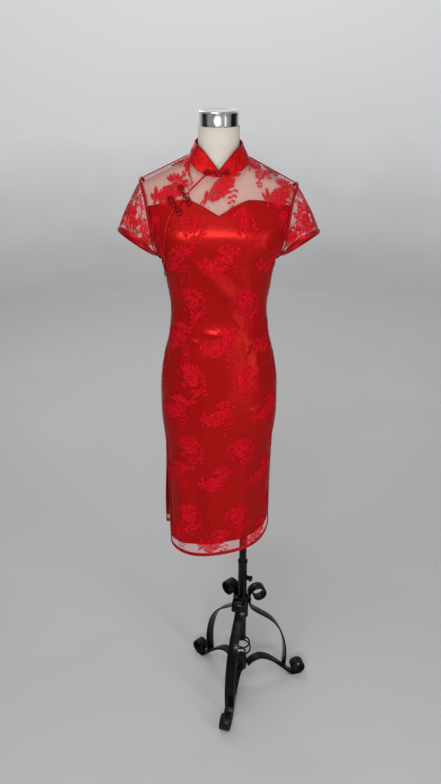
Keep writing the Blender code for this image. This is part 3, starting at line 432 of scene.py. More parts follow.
def body_points(side, s, t):
    """The front or back of the body: s from -1 at the left side to 1 at the right, t from 0 at the
    hem to 1 at the underarm and 2 at the shoulder line and the neckline."""
    s, t = np.broadcast_arrays(np.asarray(s, float), np.asarray(t, float))
    hem = hem_height(LACE_HEM[side], s)
    low_z = hem + (UNDERARM - hem) * np.minimum(t, 1)
    low = skirt_points(90 * s if side == FRONT else 180 - 90 * s, low_z)
    power = 2 / read(CORNER, UNDERARM)
    start = read(HALF, UNDERARM) * np.abs(np.sin(np.radians(90 * s))) ** power
    share = np.abs(s) / NECK_SHARE
    under_neck = np.minimum(share, 1) * math.pi / 2
    out = (SHOULDER_HALF - SIDE_NECK_HALF) * (np.abs(s) - NECK_SHARE) / (1 - NECK_SHARE)
    end = np.where(share <= 1, SIDE_NECK_HALF * np.sin(under_neck), SIDE_NECK_HALF + out)
    top = ridge(end)
    edge = np.where(share <= 1, SIDE_NECK - NECK_DROP[side] * np.cos(under_neck), top)
    full = np.arcsin(np.minimum((edge - UNDERARM) / (top - UNDERARM), 1.0))
    rise = np.sin(np.clip(t - 1, 0, 1) * full)
    x = np.copysign(start + (end - start) * read(ARMHOLE_OUT, rise), s)
    high = chest_points(side, x, UNDERARM + (top - UNDERARM) * rise)
    return np.where((t <= 1)[..., None], low, high)

# %% [markdown]
# ## Creases
#
# Satin that is fitted this closely keeps few creases: short pulls from the armpits and the darts,
# level ones at the waist, and long soft waves where the skirt hangs free below the form. Each is
# one row: where it starts and ends on the dress, how wide it is, and how far it stands out (or, if
# less than zero, falls in). All layers read the same table, so they fold together.

# %% The creases and the dress surface
CREASE = "x z to_x to_z width rise"
CREASES = {
    FRONT: table(
        CREASE,
        (-0.150, 1.452, -0.095, 1.478, 0.0060, 0.0042),
        (-0.146, 1.437, -0.100, 1.449, 0.0050, -0.0014),
        (-0.142, 1.424, -0.092, 1.417, 0.0055, 0.0034),
        (-0.137, 1.402, -0.100, 1.386, 0.0045, 0.0014),
        (0.152, 1.455, 0.102, 1.482, 0.0060, 0.0040),
        (0.146, 1.440, 0.106, 1.452, 0.0050, -0.0014),
        (0.140, 1.420, 0.096, 1.412, 0.0055, 0.0032),
        (-0.070, 1.470, -0.075, 1.345, 0.0045, 0.0014),
        (0.072, 1.468, 0.078, 1.350, 0.0045, 0.0014),
        (-0.112, 1.552, -0.070, 1.535, 0.0050, 0.0016),
        (-0.116, 1.530, -0.080, 1.520, 0.0040, 0.0012),
        (-0.118, 1.300, -0.060, 1.284, 0.0055, 0.0032),
        (-0.116, 1.272, -0.072, 1.262, 0.0045, 0.0014),
        (-0.112, 1.246, -0.050, 1.236, 0.0055, 0.0030),
        (0.116, 1.292, 0.066, 1.276, 0.0055, 0.0030),
        (0.112, 1.262, 0.060, 1.256, 0.0045, 0.0014),
        (0.114, 1.236, 0.048, 1.222, 0.0055, 0.0032),
        (-0.040, 1.262, 0.042, 1.256, 0.0060, 0.0022),
        (-0.066, 1.456, 0.046, 1.328, 0.0110, 0.0072),
        (-0.030, 1.474, 0.060, 1.368, 0.0110, -0.0042),
        (0.020, 1.325, 0.070, 1.262, 0.0080, 0.0040),
        (0.050, 1.190, 0.078, 1.222, 0.0050, 0.0034),
        (-0.088, 1.245, -0.086, 1.120, 0.0095, 0.0030),
        (0.092, 1.225, 0.098, 1.100, 0.0100, 0.0024),
        (-0.040, 1.150, -0.036, 0.960, 0.0160, 0.0030),
        (0.020, 1.120, 0.030, 0.930, 0.0160, 0.0026),
        (-0.128, 1.190, -0.070, 1.150, 0.0065, 0.0028),
        (0.130, 1.186, 0.080, 1.140, 0.0065, 0.0028),
        (-0.140, 1.085, -0.060, 1.062, 0.0075, 0.0024),
        (0.142, 1.060, 0.060, 1.040, 0.0075, 0.0024),
        (-0.096, 0.960, -0.106, 0.610, 0.0170, 0.0060),
        (-0.060, 0.900, -0.072, 0.600, 0.0150, -0.0040),
        (-0.022, 0.880, -0.030, 0.600, 0.0160, 0.0040),
        (0.028, 0.910, 0.022, 0.600, 0.0170, -0.0035),
        (0.066, 0.930, 0.064, 0.610, 0.0160, 0.0050),
        (0.104, 0.900, 0.112, 0.630, 0.0140, -0.0030),
    ),
    BACK: table(
        CREASE,
        (-0.150, 1.452, -0.090, 1.486, 0.0060, 0.0022),
        (-0.142, 1.428, -0.096, 1.436, 0.0055, 0.0016),
        (0.150, 1.452, 0.094, 1.490, 0.0060, 0.0022),
        (0.142, 1.426, 0.090, 1.432, 0.0055, 0.0016),
        (-0.064, 1.420, -0.066, 1.240, 0.0045, 0.0012),
        (0.064, 1.420, 0.066, 1.240, 0.0045, 0.0012),
        (-0.112, 1.286, -0.040, 1.270, 0.0055, 0.0034),
        (-0.092, 1.262, 0.010, 1.254, 0.0055, 0.0020),
        (0.112, 1.290, 0.036, 1.276, 0.0055, 0.0034),
        (0.100, 1.250, 0.030, 1.240, 0.0055, 0.0018),
        (-0.060, 1.226, 0.050, 1.218, 0.0060, 0.0016),
        (-0.136, 1.060, -0.070, 1.020, 0.0075, 0.0016),
        (0.138, 1.072, 0.066, 1.034, 0.0075, 0.0016),
        (-0.102, 0.950, -0.108, 0.640, 0.0170, 0.0055),
        (-0.058, 0.930, -0.056, 0.620, 0.0160, -0.0040),
        (-0.010, 0.910, -0.004, 0.620, 0.0170, 0.0045),
        (0.044, 0.920, 0.050, 0.620, 0.0160, -0.0035),
        (0.094, 0.940, 0.104, 0.640, 0.0160, 0.0050),
    ),
}


def folds(side, points):
    """How far the creases move the cloth out, over places on its front or back."""
    x, z = points[..., 0] - FORM_X, points[..., 2]
    out = np.zeros(x.shape)
    for row in CREASES[side]:
        way = np.array((row.to_x - row.x, row.to_z - row.z))
        share = ((x - row.x) * way[0] + (z - row.z) * way[1]) / (way @ way)
        held = np.clip(share, 0, 1)
        off = np.hypot(x - row.x - way[0] * held, z - row.z - way[1] * held)
        out += row.rise * np.exp(-((off / row.width) ** 2)) * np.sin(math.pi * held) ** 0.6
    return out


def body_normals(side, s, t):
    """The body's outward unit normals."""
    step = 2e-3
    across = body_points(side, s + step, t) - body_points(side, s - step, t)
    up = body_points(side, s, np.minimum(t + step, 2.0)) - body_points(side, s, t - step)
    return unit(np.cross(across, up)) * -side


def dress_points(side, s, t, lift):
    """A layer of the dress, lifted off the body surface, and its outward normals."""
    points, normals = body_points(side, s, t), body_normals(side, s, t)
    return points + normals * np.expand_dims(lift + folds(side, points), -1), normals


# %% [markdown]
# ## The flowers of the lace
#
# The same two sprays repeat over the cloth, in columns, with every other column half a step down.
# That is an ordinary half-drop repeat. A picture of the lace could be painted on, but here each
# spray is a short list of petals, leaves, stems and dots. Every vertex of the cloth stores how deep
# inside a petal it lies, in millimetres. The material turns that into a crisp edge, finer than the
# mesh, and the mesh itself rises a little wherever a flower is.

# %% The two sprays
Shape = namedtuple("Shape", "kind x y turn length width")


def ring(kind, x, y, count, inner, length, width, first=0.0, sweep=None):
    """Petals or leaves set round a heart, all the way or through part of a turn."""
    made = []
    for k in range(count):
        turn = first + 360 * k / count if sweep is None else first + sweep * k / (count - 1)
        a = math.radians(turn)
        root = (x + inner * math.cos(a), y + inner * math.sin(a))
        made.append(Shape(kind, *root, turn, length, width))
    return made


def dot(x, y, width):
    return Shape("stem", x, y, 0, 0.01, width)


def leafy_stem(x, y, turn, length, leaves, leaf_length, leaf_width, spread=50):
    """A stem with leaves on both sides by turns, and one at its tip."""
    a = math.radians(turn)
    made = [Shape("stem", x, y, turn, length, 1.5)]
    for k in range(leaves):
        reach = length * (k + 0.6) / (leaves + 0.2)
        lean = spread if k % 2 else -spread
        root = (x + reach * math.cos(a), y + reach * math.sin(a))
        made.append(Shape("leaf", *root, turn + lean, leaf_length * (1 - 0.05 * k), leaf_width))
    tip = (x + length * math.cos(a), y + length * math.sin(a))
    made.append(Shape("leaf", *tip, turn, leaf_length, leaf_width))
    return made


def floret(x, y, size, petals=5, first=90.0):
    """A small open flower with a dot at its heart."""
    open_ring = ring("petal", x, y, petals, 0.12 * size, 0.42 * size, 0.34 * size, first)
    return open_ring + [dot(x, y, 0.14 * size)]


ROUND_SPRAY = (
    ring("petal", 0, 4, 8, 14.0, 26.0, 7.2, 30, 122)
    + ring("petal", 0, 0, 9, 8.5, 13.0, 12.5, 22)
    + ring("petal", 0, 0, 7, 3.5, 10.5, 10.0)
    + ring("petal", 0, 0, 4, 0.5, 6.5, 6.5, 20)
    + floret(-34, 8, 20, first=0)
    + floret(9, -35, 25, petals=6)
    + floret(6, -58, 17)
    + leafy_stem(34, -46, 92, 50, 7, 13.0, 7.5, spread=42)
    + ring("leaf", 20, -22, 3, 1.0, 15.0, 6.0, -85, 80)
    + ring("leaf", -16, -18, 3, 1.0, 12.0, 6.0, 180, 80)
    + [dot(45, 43, 3.6), dot(-32, 34, 3.4), dot(-26, -42, 3.2), dot(-44, 22, 3.0)]
)
STAR_SPRAY = (
    ring("petal", 19, 19, 7, 9.0, 24.0, 7.4, 20, 125)
    + [Shape("leaf", 30, 32, 22, 25, 7.4)]
    + ring("petal", -1, -3, 9, 9.0, 13.0, 13.0, 10)
    + ring("petal", -1, -3, 7, 3.5, 11.0, 10.5, 30)
    + ring("petal", -1, -3, 4, 0.5, 6.5, 6.5)
    + ring("petal", 19, 14, 7, 4.0, 12.0, 11.0, 5)
    + ring("petal", 19, 14, 5, 0.5, 7.5, 7.0, 40)
    + leafy_stem(34, 6, -102, 52, 8, 17.0, 6.0, spread=66)
    + ring("petal", -13, -17, 5, 3.0, 12.5, 10.5, 175, 140)
    + [Shape("petal", -34, -24, 92, 40, 10.5), Shape("leaf", -30, -22, 72, 34, 8.0)]
    + [Shape("leaf", -38, -20, 118, 28, 8.0), Shape("leaf", -30, -8, -120, 26, 8.0)]
    + [dot(62, 4, 4.2), dot(-30, 38, 3.2), dot(-48, -40, 3.2), dot(2, -52, 3.4)]
)
SPRAYS = {"round": ROUND_SPRAY, "star": STAR_SPRAY}
for name, shapes in SPRAYS.items():
    print("the", name, "spray has", len(shapes), "petals, leaves and stems")

# %% Where the sprays lie, and how deep inside them a place is
Spray = namedtuple("Spray", "kind x z turn size")
STAR_COLUMNS = (-0.263, -0.125, -0.005, 0.131, 0.267)
ROUND_COLUMNS = (-0.205, -0.077, 0.061, 0.197)
STAR_ROWS = (0.625, 0.828, 1.031, 1.226, 1.4465, 1.6235)
ROUND_ROWS = (0.704, 0.924, 1.1325, 1.3355, 1.540, 1.730)
REPEAT_REACH = 0.070
PETAL_GAP = 0.8
BARE = -6.0


def repeat():
    """The half-drop repeat: columns of stars, and between them columns of round sprays."""
    both = ("star", STAR_COLUMNS, STAR_ROWS), ("round", ROUND_COLUMNS, ROUND_ROWS)
    return [
        Spray(kind, x, z, 0, 1.0)
        for kind, columns, rows in both
        for x in columns
        for z in rows
    ]


def inside(shape, x, y):
    """How deep inside a petal, leaf, stem or dot places are, in millimetres."""
    a = math.radians(shape.turn)
    along = (x - shape.x) * math.cos(a) + (y - shape.y) * math.sin(a)
    across = (y - shape.y) * math.cos(a) - (x - shape.x) * math.sin(a)
    share = np.clip(along / shape.length, 0, 1)
    over = np.maximum(np.maximum(along - shape.length, -along), 0)
    full = {
        "petal": np.sin(math.pi * share**1.5) ** 0.6,
        "leaf": np.sin(math.pi * share),
    }.get(shape.kind, 1.0)
    return shape.width / 2 * full - np.hypot(across, over)


def flower_depth(flat, sprays):
    """How deep inside the flowers each place of a flat cloth lies: more than 0 is inside. Each
    petal covers those before it and leaves a thin gap round itself."""
    depth = np.full(flat.shape[:-1], BARE)
    for spray in sprays:
        off = (flat - (spray.x, spray.z)) / spray.size
        near = np.abs(off).max(axis=-1) < REPEAT_REACH
        if not near.any():
            continue
        a = math.radians(spray.turn)
        x, y = off[near][:, 0] / MM, off[near][:, 1] / MM
        x, y = x * math.cos(a) + y * math.sin(a), y * math.cos(a) - x * math.sin(a)
        found = np.full(x.shape, BARE)
        for shape in SPRAYS[spray.kind]:
            depth_here = inside(shape, x, y)
            found = np.where(depth_here > -PETAL_GAP, depth_here, np.maximum(found, depth_here))
        depth[near] = np.maximum(depth[near], found * spray.size)
    return depth

# %% [markdown]
# ## From grids to cloth
#
# A panel is a grid of places on the surface, joined by four-sided faces. Its UV map holds its flat
# size in metres, measured along the cloth, so weave and flowers keep their scale over a curve.
# A sheet could also be cut from a plane and wrapped on the body, and then unwrapped for its
# texture. A grid needs neither: each of its points has a known place on the cloth.

# %% Handing a piece over
def hand_over(piece, node, finish, body):
    """Gives a piece its finish, and says which body carries it and which CAD node it replaces."""
    piece.data.name = piece.name
    piece.data.materials.clear()
    piece.data.materials.append(finish.material)
    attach(piece, body)
    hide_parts(node)
    return piece


def sewn(node, mesh, finish):
    """Puts a finished mesh on the form, in place of a CAD node."""
    return hand_over(put("sewn_" + node, mesh), node, finish, "form")


def apply_modifiers(piece):
    """What the modifiers make becomes the piece's own mesh."""
    bpy.ops.object.select_all(action="DESELECT")
    bpy.context.view_layer.objects.active = piece
    piece.select_set(True)
    for modifier in list(piece.modifiers):
        bpy.ops.object.modifier_apply(modifier=modifier.name)
    piece.select_set(False)


def thicken(piece, thickness):
    """Gives a sheet its thickness, inwards from the side that shows."""
    solid = piece.modifiers.new("thickness", "SOLIDIFY")
    solid.thickness, solid.offset = thickness, -1
    apply_modifiers(piece)


def weld(mesh, reach, solid=True, fill=False):
    """Joins the points that meet at a mesh's seams. A solid's holes can be filled, and its faces
    are turned outwards. Gives back how many edges are open."""
    shape = bmesh.new()
    shape.from_mesh(mesh)
    bmesh.ops.remove_doubles(shape, verts=shape.verts, dist=reach)
    open_edges = [edge for edge in shape.edges if edge.is_boundary]
    if fill:
        bmesh.ops.holes_fill(shape, edges=open_edges, sides=0)
    if solid:
        bmesh.ops.recalc_face_normals(shape, faces=shape.faces)
        if shape.calc_volume(signed=True) < 0:
            bmesh.ops.reverse_faces(shape, faces=shape.faces)
    still_open = sum(edge.is_boundary for edge in shape.edges)
    shape.to_mesh(mesh)
    shape.free()
    mesh.shade_smooth()
    return still_open


# %% A sheet from a grid of points
def grid_faces(rows, columns, closed=False, first=0):
    """Four-sided faces over a grid of points, counted row by row."""
    steps = np.arange(rows - 1), np.arange(columns if closed else columns - 1)
    i, j = (index.ravel() for index in np.meshgrid(*steps, indexing="ij"))
    k = (j + 1) % columns
    low, high = i * columns, (i + 1) * columns
    return first + np.stack([low + j, low + k, high + k, high + j], axis=1)


def grid_mesh(name, points, normals, flat, depth=None, attribute="flower"):
    """A sheet of one layer whose faces look along the normals. Its UV map is its flat places."""
    rows, columns = points.shape[:2]
    faces = grid_faces(rows, columns)
    corners = points.reshape(-1, 3)[faces]
    facing = np.cross(corners[:, 1] - corners[:, 0], corners[:, 3] - corners[:, 0])
    if np.sum(facing * normals.reshape(-1, 3)[faces[:, 0]]) < 0:
        faces = faces[:, ::-1]
    mesh = bpy.data.meshes.new(name)
    mesh.from_pydata(points.reshape(-1, 3).tolist(), [], faces.tolist())
    loops = np.zeros(len(mesh.loops), np.int32)
    mesh.loops.foreach_get("vertex_index", loops)
    uv = mesh.uv_layers.new(name="flat")
    uv.data.foreach_set("uv", flat.reshape(-1, 2)[loops].astype(np.float32).ravel())
    if depth is not None:
        store = mesh.attributes.new(attribute, "FLOAT", "POINT")
        store.data.foreach_set("value", depth.astype(np.float32).ravel())
    mesh.shade_smooth()
    return mesh


# %% The flat size of a sheet
def flat_places(points, middle, zero_row):
    """Each grid point's place on the flat cloth: across from the middle line, and up from a row."""
    across, up = lengths(points, 1), lengths(points)
    for i, row in enumerate(points):
        order = np.argsort(row[:, 0])
        across[i] -= np.interp(FORM_X + middle(row[:, 2].mean()), row[order, 0], across[i][order])
    if points[0, 0, 0] > points[0, -1, 0]:
        across = -across
    up += points[zero_row, :, 2] - up[zero_row]
    return np.stack([across, up], axis=-1)


def sheet_area(points):
    """Area of a grid of points, in square metres."""
    corners = points.reshape(-1, 3)[grid_faces(*points.shape[:2])]
    crossed = np.cross(corners[:, 2] - corners[:, 0], corners[:, 3] - corners[:, 1])
    return float(np.linalg.norm(crossed, axis=1).sum() / 2)


def cut_size(flat):
    """Width and length of the smallest rectangle of cloth that takes a flat shape."""
    sizes = []
    for degrees in range(0, 90, 3):
        cos, sin = math.cos(math.radians(degrees)), math.sin(math.radians(degrees))
        sizes.append(np.ptp(flat.reshape(-1, 2) @ np.array(((cos, -sin), (sin, cos))), axis=0))
    return tuple(float(side) for side in min(sizes, key=lambda size: size[0] * size[1]))


CUTS = []


def declare(piece, points, flat, held, rests_on, with_pieces=()):
    """Works out a piece's flat size and area from its own grid, and lists them."""
    width, length = cut_size(flat)
    area = sheet_area(points)
    CUTS.append((piece.name, width, length, area))


# %% [markdown]
# ## The finishes of the dress
#
# Satin is smooth and bright because its threads float over many others, so it gets a low
# roughness, a fine thread line along the cloth and a broad unevenness that breaks up the shine.
# The lace is two things in one material. Where a vertex is inside a flower it is matte thread laid
# side by side, parted by fine dark slits along the edges of small cells. Elsewhere it is net,
# mostly holes, so the Alpha input lets the layer below show. A picture of real cloth would be
# quicker, but a pattern made of nodes stays sharp at any distance.

# %% Satin, lace and bindings
SATIN_RED = (0.36, 0.0030, 0.0026)
SATIN_DEEP = (0.22, 0.0014, 0.0014)
SATIN_TINT = (1.0, 0.20, 0.16, 1)
SATIN_GLEAM = (1.0, 0.36, 0.29, 1)
SEAM_RED = (0.10, 0.0015, 0.0030)
FLOWER_RED = (0.62, 0.0080, 0.0190)
FLOWER_DEEP = (0.26, 0.0025, 0.0055)
NET_RED = (0.50, 0.0060, 0.0080)
BINDING_RED = (0.38, 0.0036, 0.0085)
THREADS_PER_METRE = 2600
FOLD_SHADE = 0.55


def fold_shaded(colour):
    """The same colour in the shade of a fold."""
    return tuple(FOLD_SHADE * part for part in colour)


def satin_finish(name, red, deep, roughness):
    """Smooth satin, with a thread line along the cloth and a darker turned edge."""
    shine = {"metallic": 0.55, "specular_ior_level": 0.72, "specular_tint": SATIN_GLEAM}
    satin = Finish(name, red, roughness, **shine)
    place = satin.place("UV")
    broad = satin.noise(satin.place(), 9, 3)
    slub = satin.noise(satin.scaled(place, (60, 900, 1)), 1.0, 2)
    weave = satin.noise(satin.scaled(place, (THREADS_PER_METRE, 320, 1)), 1.0, 1)
    seam = (1.6 - satin.attribute("below_edge") * 0.55).held()
    cloth = satin.blend((broad * 0.75 + slub * 0.30 - 0.18).held(), red, deep)
    satin.set(
        base_color=satin.blend(seam, cloth, SEAM_RED),
        roughness=(roughness - 0.06 + broad * 0.10 + slub * 0.06 + seam * 0.2).held(),
    )
    satin.bump(weave * 0.05 + slub * 0.05 + broad * 0.9, 0.0030, 0.8)
    return satin


def lace_finish(name, net_alpha, ground=None):
    """Net with flowers in it or, on a ground colour, flowers laid on a cloth."""
    on_net, on_satin = {"specular_ior_level": 0.03}, {"metallic": 0.4, "specular_ior_level": 0.4}
    shine = on_satin if ground else on_net
    lace = Finish(name, FLOWER_RED, 0.72, specular_tint=SATIN_TINT, **shine)
    place = lace.place("UV")
    across, up, _ = lace.axes(place)
    ragged = lace.noise(place, 700, 2)
    slits = (lace.seams(lace.scaled(place, (1, 0.8, 1)), 150) * 8.5).held()
    in_flower = ((lace.attribute("flower") + (ragged - 0.5)) * 1.8 + 0.45).held()
    flower = in_flower * slits
    shade, speckle = lace.noise(place, 55, 3), lace.noise(place, 380, 2)
    stitch = ((across * 5200 + lace.noise(place, 60, 1) * 26).sine() * 0.5 + 0.5) * flower
    holes = (((across + up * 0.58) * 3900).sine() * ((across - up * 0.58) * 3900).sine()).size()
    thread = (1 - holes * 1.5).held()
    worn = (shade + speckle * 2.4 - 1.4 + stitch * 0.2).held()
    petals = lace.blend(worn, FLOWER_RED, FLOWER_DEEP)
    if ground:
        # Painted shade: the collar's ground darkens along its pleats, which also give its bump.
        pleats = lace.noise(lace.scaled(lace.place(), (110, 110, 12)), 1.0, 2)
        pleat_painted_shade = lace.blend((pleats * 2.2 - 0.7).held(), ground, fold_shaded(ground))
        lace.set(
            base_color=lace.blend(flower * 0.5, pleat_painted_shade, petals),
            roughness=(0.32 + flower * 0.38).held(),
        )
        lace.bump(flower * 0.12 + pleats, 0.0024, 0.8)
    else:
        lace.set(base_color=lace.blend(in_flower, NET_RED, lace.blend(slits, FLOWER_DEEP, petals)))
        lace.bump(flower * 0.7 + stitch * 0.3, 0.0005, 0.7)
        net = net_alpha * 0.6 + thread * (net_alpha * 0.8)
        lace.set(
            alpha=(net + flower * 0.65 + in_flower * 0.3).held(),
            roughness=(0.62 + shade * 0.2).held(),
        )
    return lace


def binding_finish(name, red):
    """Satin folded over an edge: darker, with the small puckers of its stitching, which get painted
    shade.
    """
    binding = Finish(name, red, 0.36, metallic=0.3, specular_tint=SATIN_TINT)
    place = binding.place("UV")
    along, _, _ = binding.axes(place)
    pucker = (along * 900 + binding.noise(binding.place(), 160, 2) * 9).sine() * 0.5 + 0.5
    broad = binding.noise(binding.place(), 70, 3)
    # Painted shade in the puckers, over soft patches of uneven tone: the colour darkens towards its
    # fold-shaded version.
    binding.set(
        base_color=binding.blend((broad * 0.8 + pucker * 0.25 - 0.1).held(), red, fold_shaded(red)),
        roughness=(0.28 + broad * 0.18).held(),
    )
    binding.bump(pucker * 0.6 + broad * 0.4, 0.0006, 0.6)
    return binding


SATIN = satin_finish("red satin", SATIN_RED, SATIN_DEEP, 0.28)
LACE = lace_finish("flower lace on net", 0.27)
COLLAR_CLOTH = lace_finish("flower lace on satin", 0, ground=(0.50, 0.0045, 0.0050))
BINDING = binding_finish("satin binding", BINDING_RED)
CORD_SATIN = binding_finish("satin frog cord", (0.24, 0.0020, 0.0060))

# %% [markdown]
# ## The panels
#
# The front is cut on a slant from the neck to the left armhole, as on every such dress, and a small
# side front fills the gap under it. Each panel is laid out as places on the body surface: `s`
# across and `t` up. The satin follows the same columns, but it ends at its own hem and, on the
# front, at a heart-shaped edge over the bust.

# %% The lace panels
SEAM_SHARE = 0.001
SLIT_OPEN, SLIT_TOP = 0.035, 0.375
LINING_TOP, LACE_LIFT, RELIEF = 0.0010, 0.0024, 0.00035
SKIRT_GRID, CHEST_GRID, ACROSS_GRID = 372, 108, 180
BACK_LINING_TOP = 1.75
STAR_COLUMN_Z = (0.627, 0.833, 1.040, 1.235, 1.613)
STAR_COLUMN_X = (-0.0115, -0.0055, 0.0027, 0.0077, 0.0074)


def height_t(z, side, s):
    """Which t a height below the underarm is."""
    hem = hem_height(LACE_HEM[side], s)
    return (z - hem) / (UNDERARM - hem)


OPENING_START = float(height_t(OPENING[0].z, FRONT, -1.0))


def edge_share(t):
    """How much of its half a panel fills: less below the slit's top, where it hangs open."""
    return 1 - SEAM_SHARE - SLIT_OPEN * np.maximum(1 - t / SLIT_TOP, 0.0) ** 1.2


def opening_share(t):
    """Which s the slanted opening's edge is at."""

    def is_left(s):
        points = body_points(FRONT, s, t)
        return points[..., 0] - FORM_X < read(OPENING_X, points[..., 2])

    return boundary(np.full(np.shape(t), -1.0), np.zeros(np.shape(t)), is_left)[1]


OPENING_T = np.linspace(OPENING_START, 2, 200)
OPENING_S = opening_share(OPENING_T)


def left_edge(t):
    """Which s the main front's left edge is at."""
    opening = np.interp(t, OPENING_T, OPENING_S) + SEAM_SHARE
    return np.where(t < OPENING_START, -edge_share(t), opening)


def front_s(across, t):
    """Which s a place from -1 to 1 across the main front is at."""
    return np.where(across < 0, -across * left_edge(t), across * edge_share(t))


def back_s(across, t):
    return across * edge_share(t)


def side_front_s(across, t):
    """The same on the side front, from the armhole (-1) to the opening (1)."""
    left, right = -1 + SEAM_SHARE, np.interp(t, OPENING_T, OPENING_S) - SEAM_SHARE
    return left + (right - left) * (across + 1) / 2


def star_column(z):
    """The middle of the lace's repeat: it leans a little, as the skirt has turned on the form."""
    return np.interp(z, STAR_COLUMN_Z, STAR_COLUMN_X)


def panel_rows(low=0.0, share=1.0):
    """The rows of a panel's grid from a low t to the top. A share below 1 makes it coarser."""
    skirt = np.linspace(0, 1, int(SKIRT_GRID * share) + 1)
    chest = np.linspace(1, 2, int(CHEST_GRID * share) + 1)[1:]
    rows = np.concatenate([skirt, chest])
    return np.concatenate([[low], rows[rows > low + 1e-4]])


def in_relief(points, normals, depth, lift=0.0):
    """Points that stand out along their normals, more so inside a flower."""
    return points + normals * (lift + RELIEF * np.clip(depth, 0, 1))[..., None]


def lace_panel(name, side, s_of, sprays, low=0.0, columns=ACROSS_GRID, middle=star_column):
    """A panel of net from a low t to its top edge, raised a little wherever a flower is."""
    t = panel_rows(low)[:, None]
    across = np.linspace(-1, 1, columns + 1)[None]
    s = s_of(across, t)
    points, normals = dress_points(side, s, t, LACE_LIFT)
    flat = flat_places(points, middle, int(np.argmin(np.abs(t[:, 0] - 1))))
    depth = flower_depth(flat, sprays)
    mesh = grid_mesh(name, in_relief(points, normals, depth), normals, flat, depth)
    piece = sewn(name, mesh, LACE)
    print(name, len(mesh.vertices), "vertices, area", round(sheet_area(points), 3))
    return piece, points, flat


YOKE_FOOT = 1.58
YOKE_SPRAYS = [
    Spray("star", -0.003, 1.6235, 0, 1.0),
    Spray("star", 0.182, 1.614, 0, 1.0),
    Spray("round", 0.122, 1.692, 0, 1.0),
]
SIDE_SPRAYS = [
    Spray("star", -0.016, 1.628, 0, 1.0),
    Spray("round", 0.040, 1.700, 0, 0.9),
    Spray("star", -0.030, 1.4465, 0, 1.0),
    Spray("round", -0.052, 1.540, 10, 0.9),
]
SIDE_MIDDLE, SIDE_LACE_ACROSS = -0.10, 40
low_sprays = [spray for spray in repeat() if spray.z < YOKE_FOOT]
lace_front = lace_panel("lace_front", FRONT, front_s, low_sprays + YOKE_SPRAYS)
lace_back = lace_panel("lace_back", BACK, back_s, repeat(), middle=lambda z: 0.0)
lace_side = lace_panel(
    "lace_side_front",
    FRONT,
    side_front_s,
    SIDE_SPRAYS,
    low=OPENING_START,
    columns=SIDE_LACE_ACROSS,
    middle=lambda z: SIDE_MIDDLE,
)


# %% The satin panels
SATIN_GRID, SATIN_ACROSS = 0.42, 78
SIDE_SATIN_ROWS, SIDE_SATIN_ACROSS = 60, 18
SATIN_THICK = 0.0008


def heart_top(s_of, across):
    """Which t each column meets the satin's heart-shaped edge at."""

    def is_below(t):
        points = body_points(FRONT, s_of(across, t), t)
        return points[..., 2] < read(SWEETHEART_Z, np.abs(points[..., 0] - FORM_X))

    return boundary(np.ones(across.shape), np.full(across.shape, 2.0), is_below)[0]


def satin_panel(name, side, s_of, top, low=None, columns=SATIN_ACROSS):
    """A lining from its own hem, or from a low t on the side front, up to its top edge."""
    across = np.linspace(-1, 1, columns + 1)
    if low is None:
        s = s_of(across, np.zeros(across.shape))
        foot = height_t(hem_height(LINING_HEM[side], s), side, s)
        share, middle = panel_rows(share=SATIN_GRID) / 2, 0.0
    else:
        foot = np.full(across.shape, low)
        share, middle = np.linspace(0, 1, SIDE_SATIN_ROWS), SIDE_MIDDLE
    t = foot + (top(across) - foot) * share[:, None]
    s = s_of(across[None], t)
    points, normals = dress_points(side, s, t, LINING_TOP)
    flat = flat_places(points, lambda z: middle, int(np.argmin(np.abs(t[:, 0] - 1))))
    below = lengths(points[::-1])[::-1] / MM
    mesh = grid_mesh(name, points, normals, flat, below, "below_edge")
    piece = sewn(name, mesh, SATIN)
    thicken(piece, SATIN_THICK)
    print(name, len(piece.data.vertices), "vertices")
    return piece, points, flat


satin_front = satin_panel("lining_front", FRONT, front_s, lambda a: heart_top(front_s, a))
satin_back = satin_panel("lining_back", BACK, back_s, lambda a: np.full(a.shape, BACK_LINING_TOP))
satin_side = satin_panel(
    "lining_side_front",
    FRONT,
    side_front_s,
    lambda a: heart_top(side_front_s, a),
    low=OPENING_START,
    columns=SIDE_SATIN_ACROSS,
)

# %% [markdown]
# ## Rolled edges
#
# Every raw edge is finished with a strip of satin, folded over it and sewn down. It is a soft flat
# roll, so its section is a closed oval and not a flat ribbon. A curve with a bevel would make one
# too, but it would twist off the cloth. Here both edges of the strip are places on the panel, so
# the roll lies on the cloth all the way, and it swells and pinches a little as a sewn one does.

# %% A roll through sections
ROLL_PARTS = 7
SEAM_REACH = 1e-6


def roll_mesh(name, sections, closed=False):
    """A closed skin through sections, each a closed loop of points, with its ends filled."""
    sections = np.asarray(sections)
    if closed:
        sections = np.concatenate([sections, sections[:1]])
    seamed = np.concatenate([sections, sections[:, :1]], axis=1)
    along, round_it = lengths(sections.mean(axis=1)), lengths(seamed, 1)
    flat = np.stack([np.broadcast_to(along[:, None], round_it.shape), round_it], axis=-1)
    normals = unit(seamed - sections.mean(axis=1)[:, None] + 1e-9)
    mesh = grid_mesh(name, seamed, normals, flat)
    weld(mesh, SEAM_REACH, fill=not closed)
    return mesh


def bind(name, sections, closed=False, finish=BINDING):
    """A roll of satin through sections, sewn on."""
    return sewn(name, roll_mesh(name, sections, closed), finish)


def swell(count, strength=0.10):
    """How an edge's roll swells and pinches along its length."""
    k = np.arange(count)
    waves = np.sin(k * 0.41) + 0.7 * np.sin(k * 0.173 + 1.3) + 0.5 * np.sin(k * 0.97 + 2.1)
    return 1 + strength * waves / 2.2


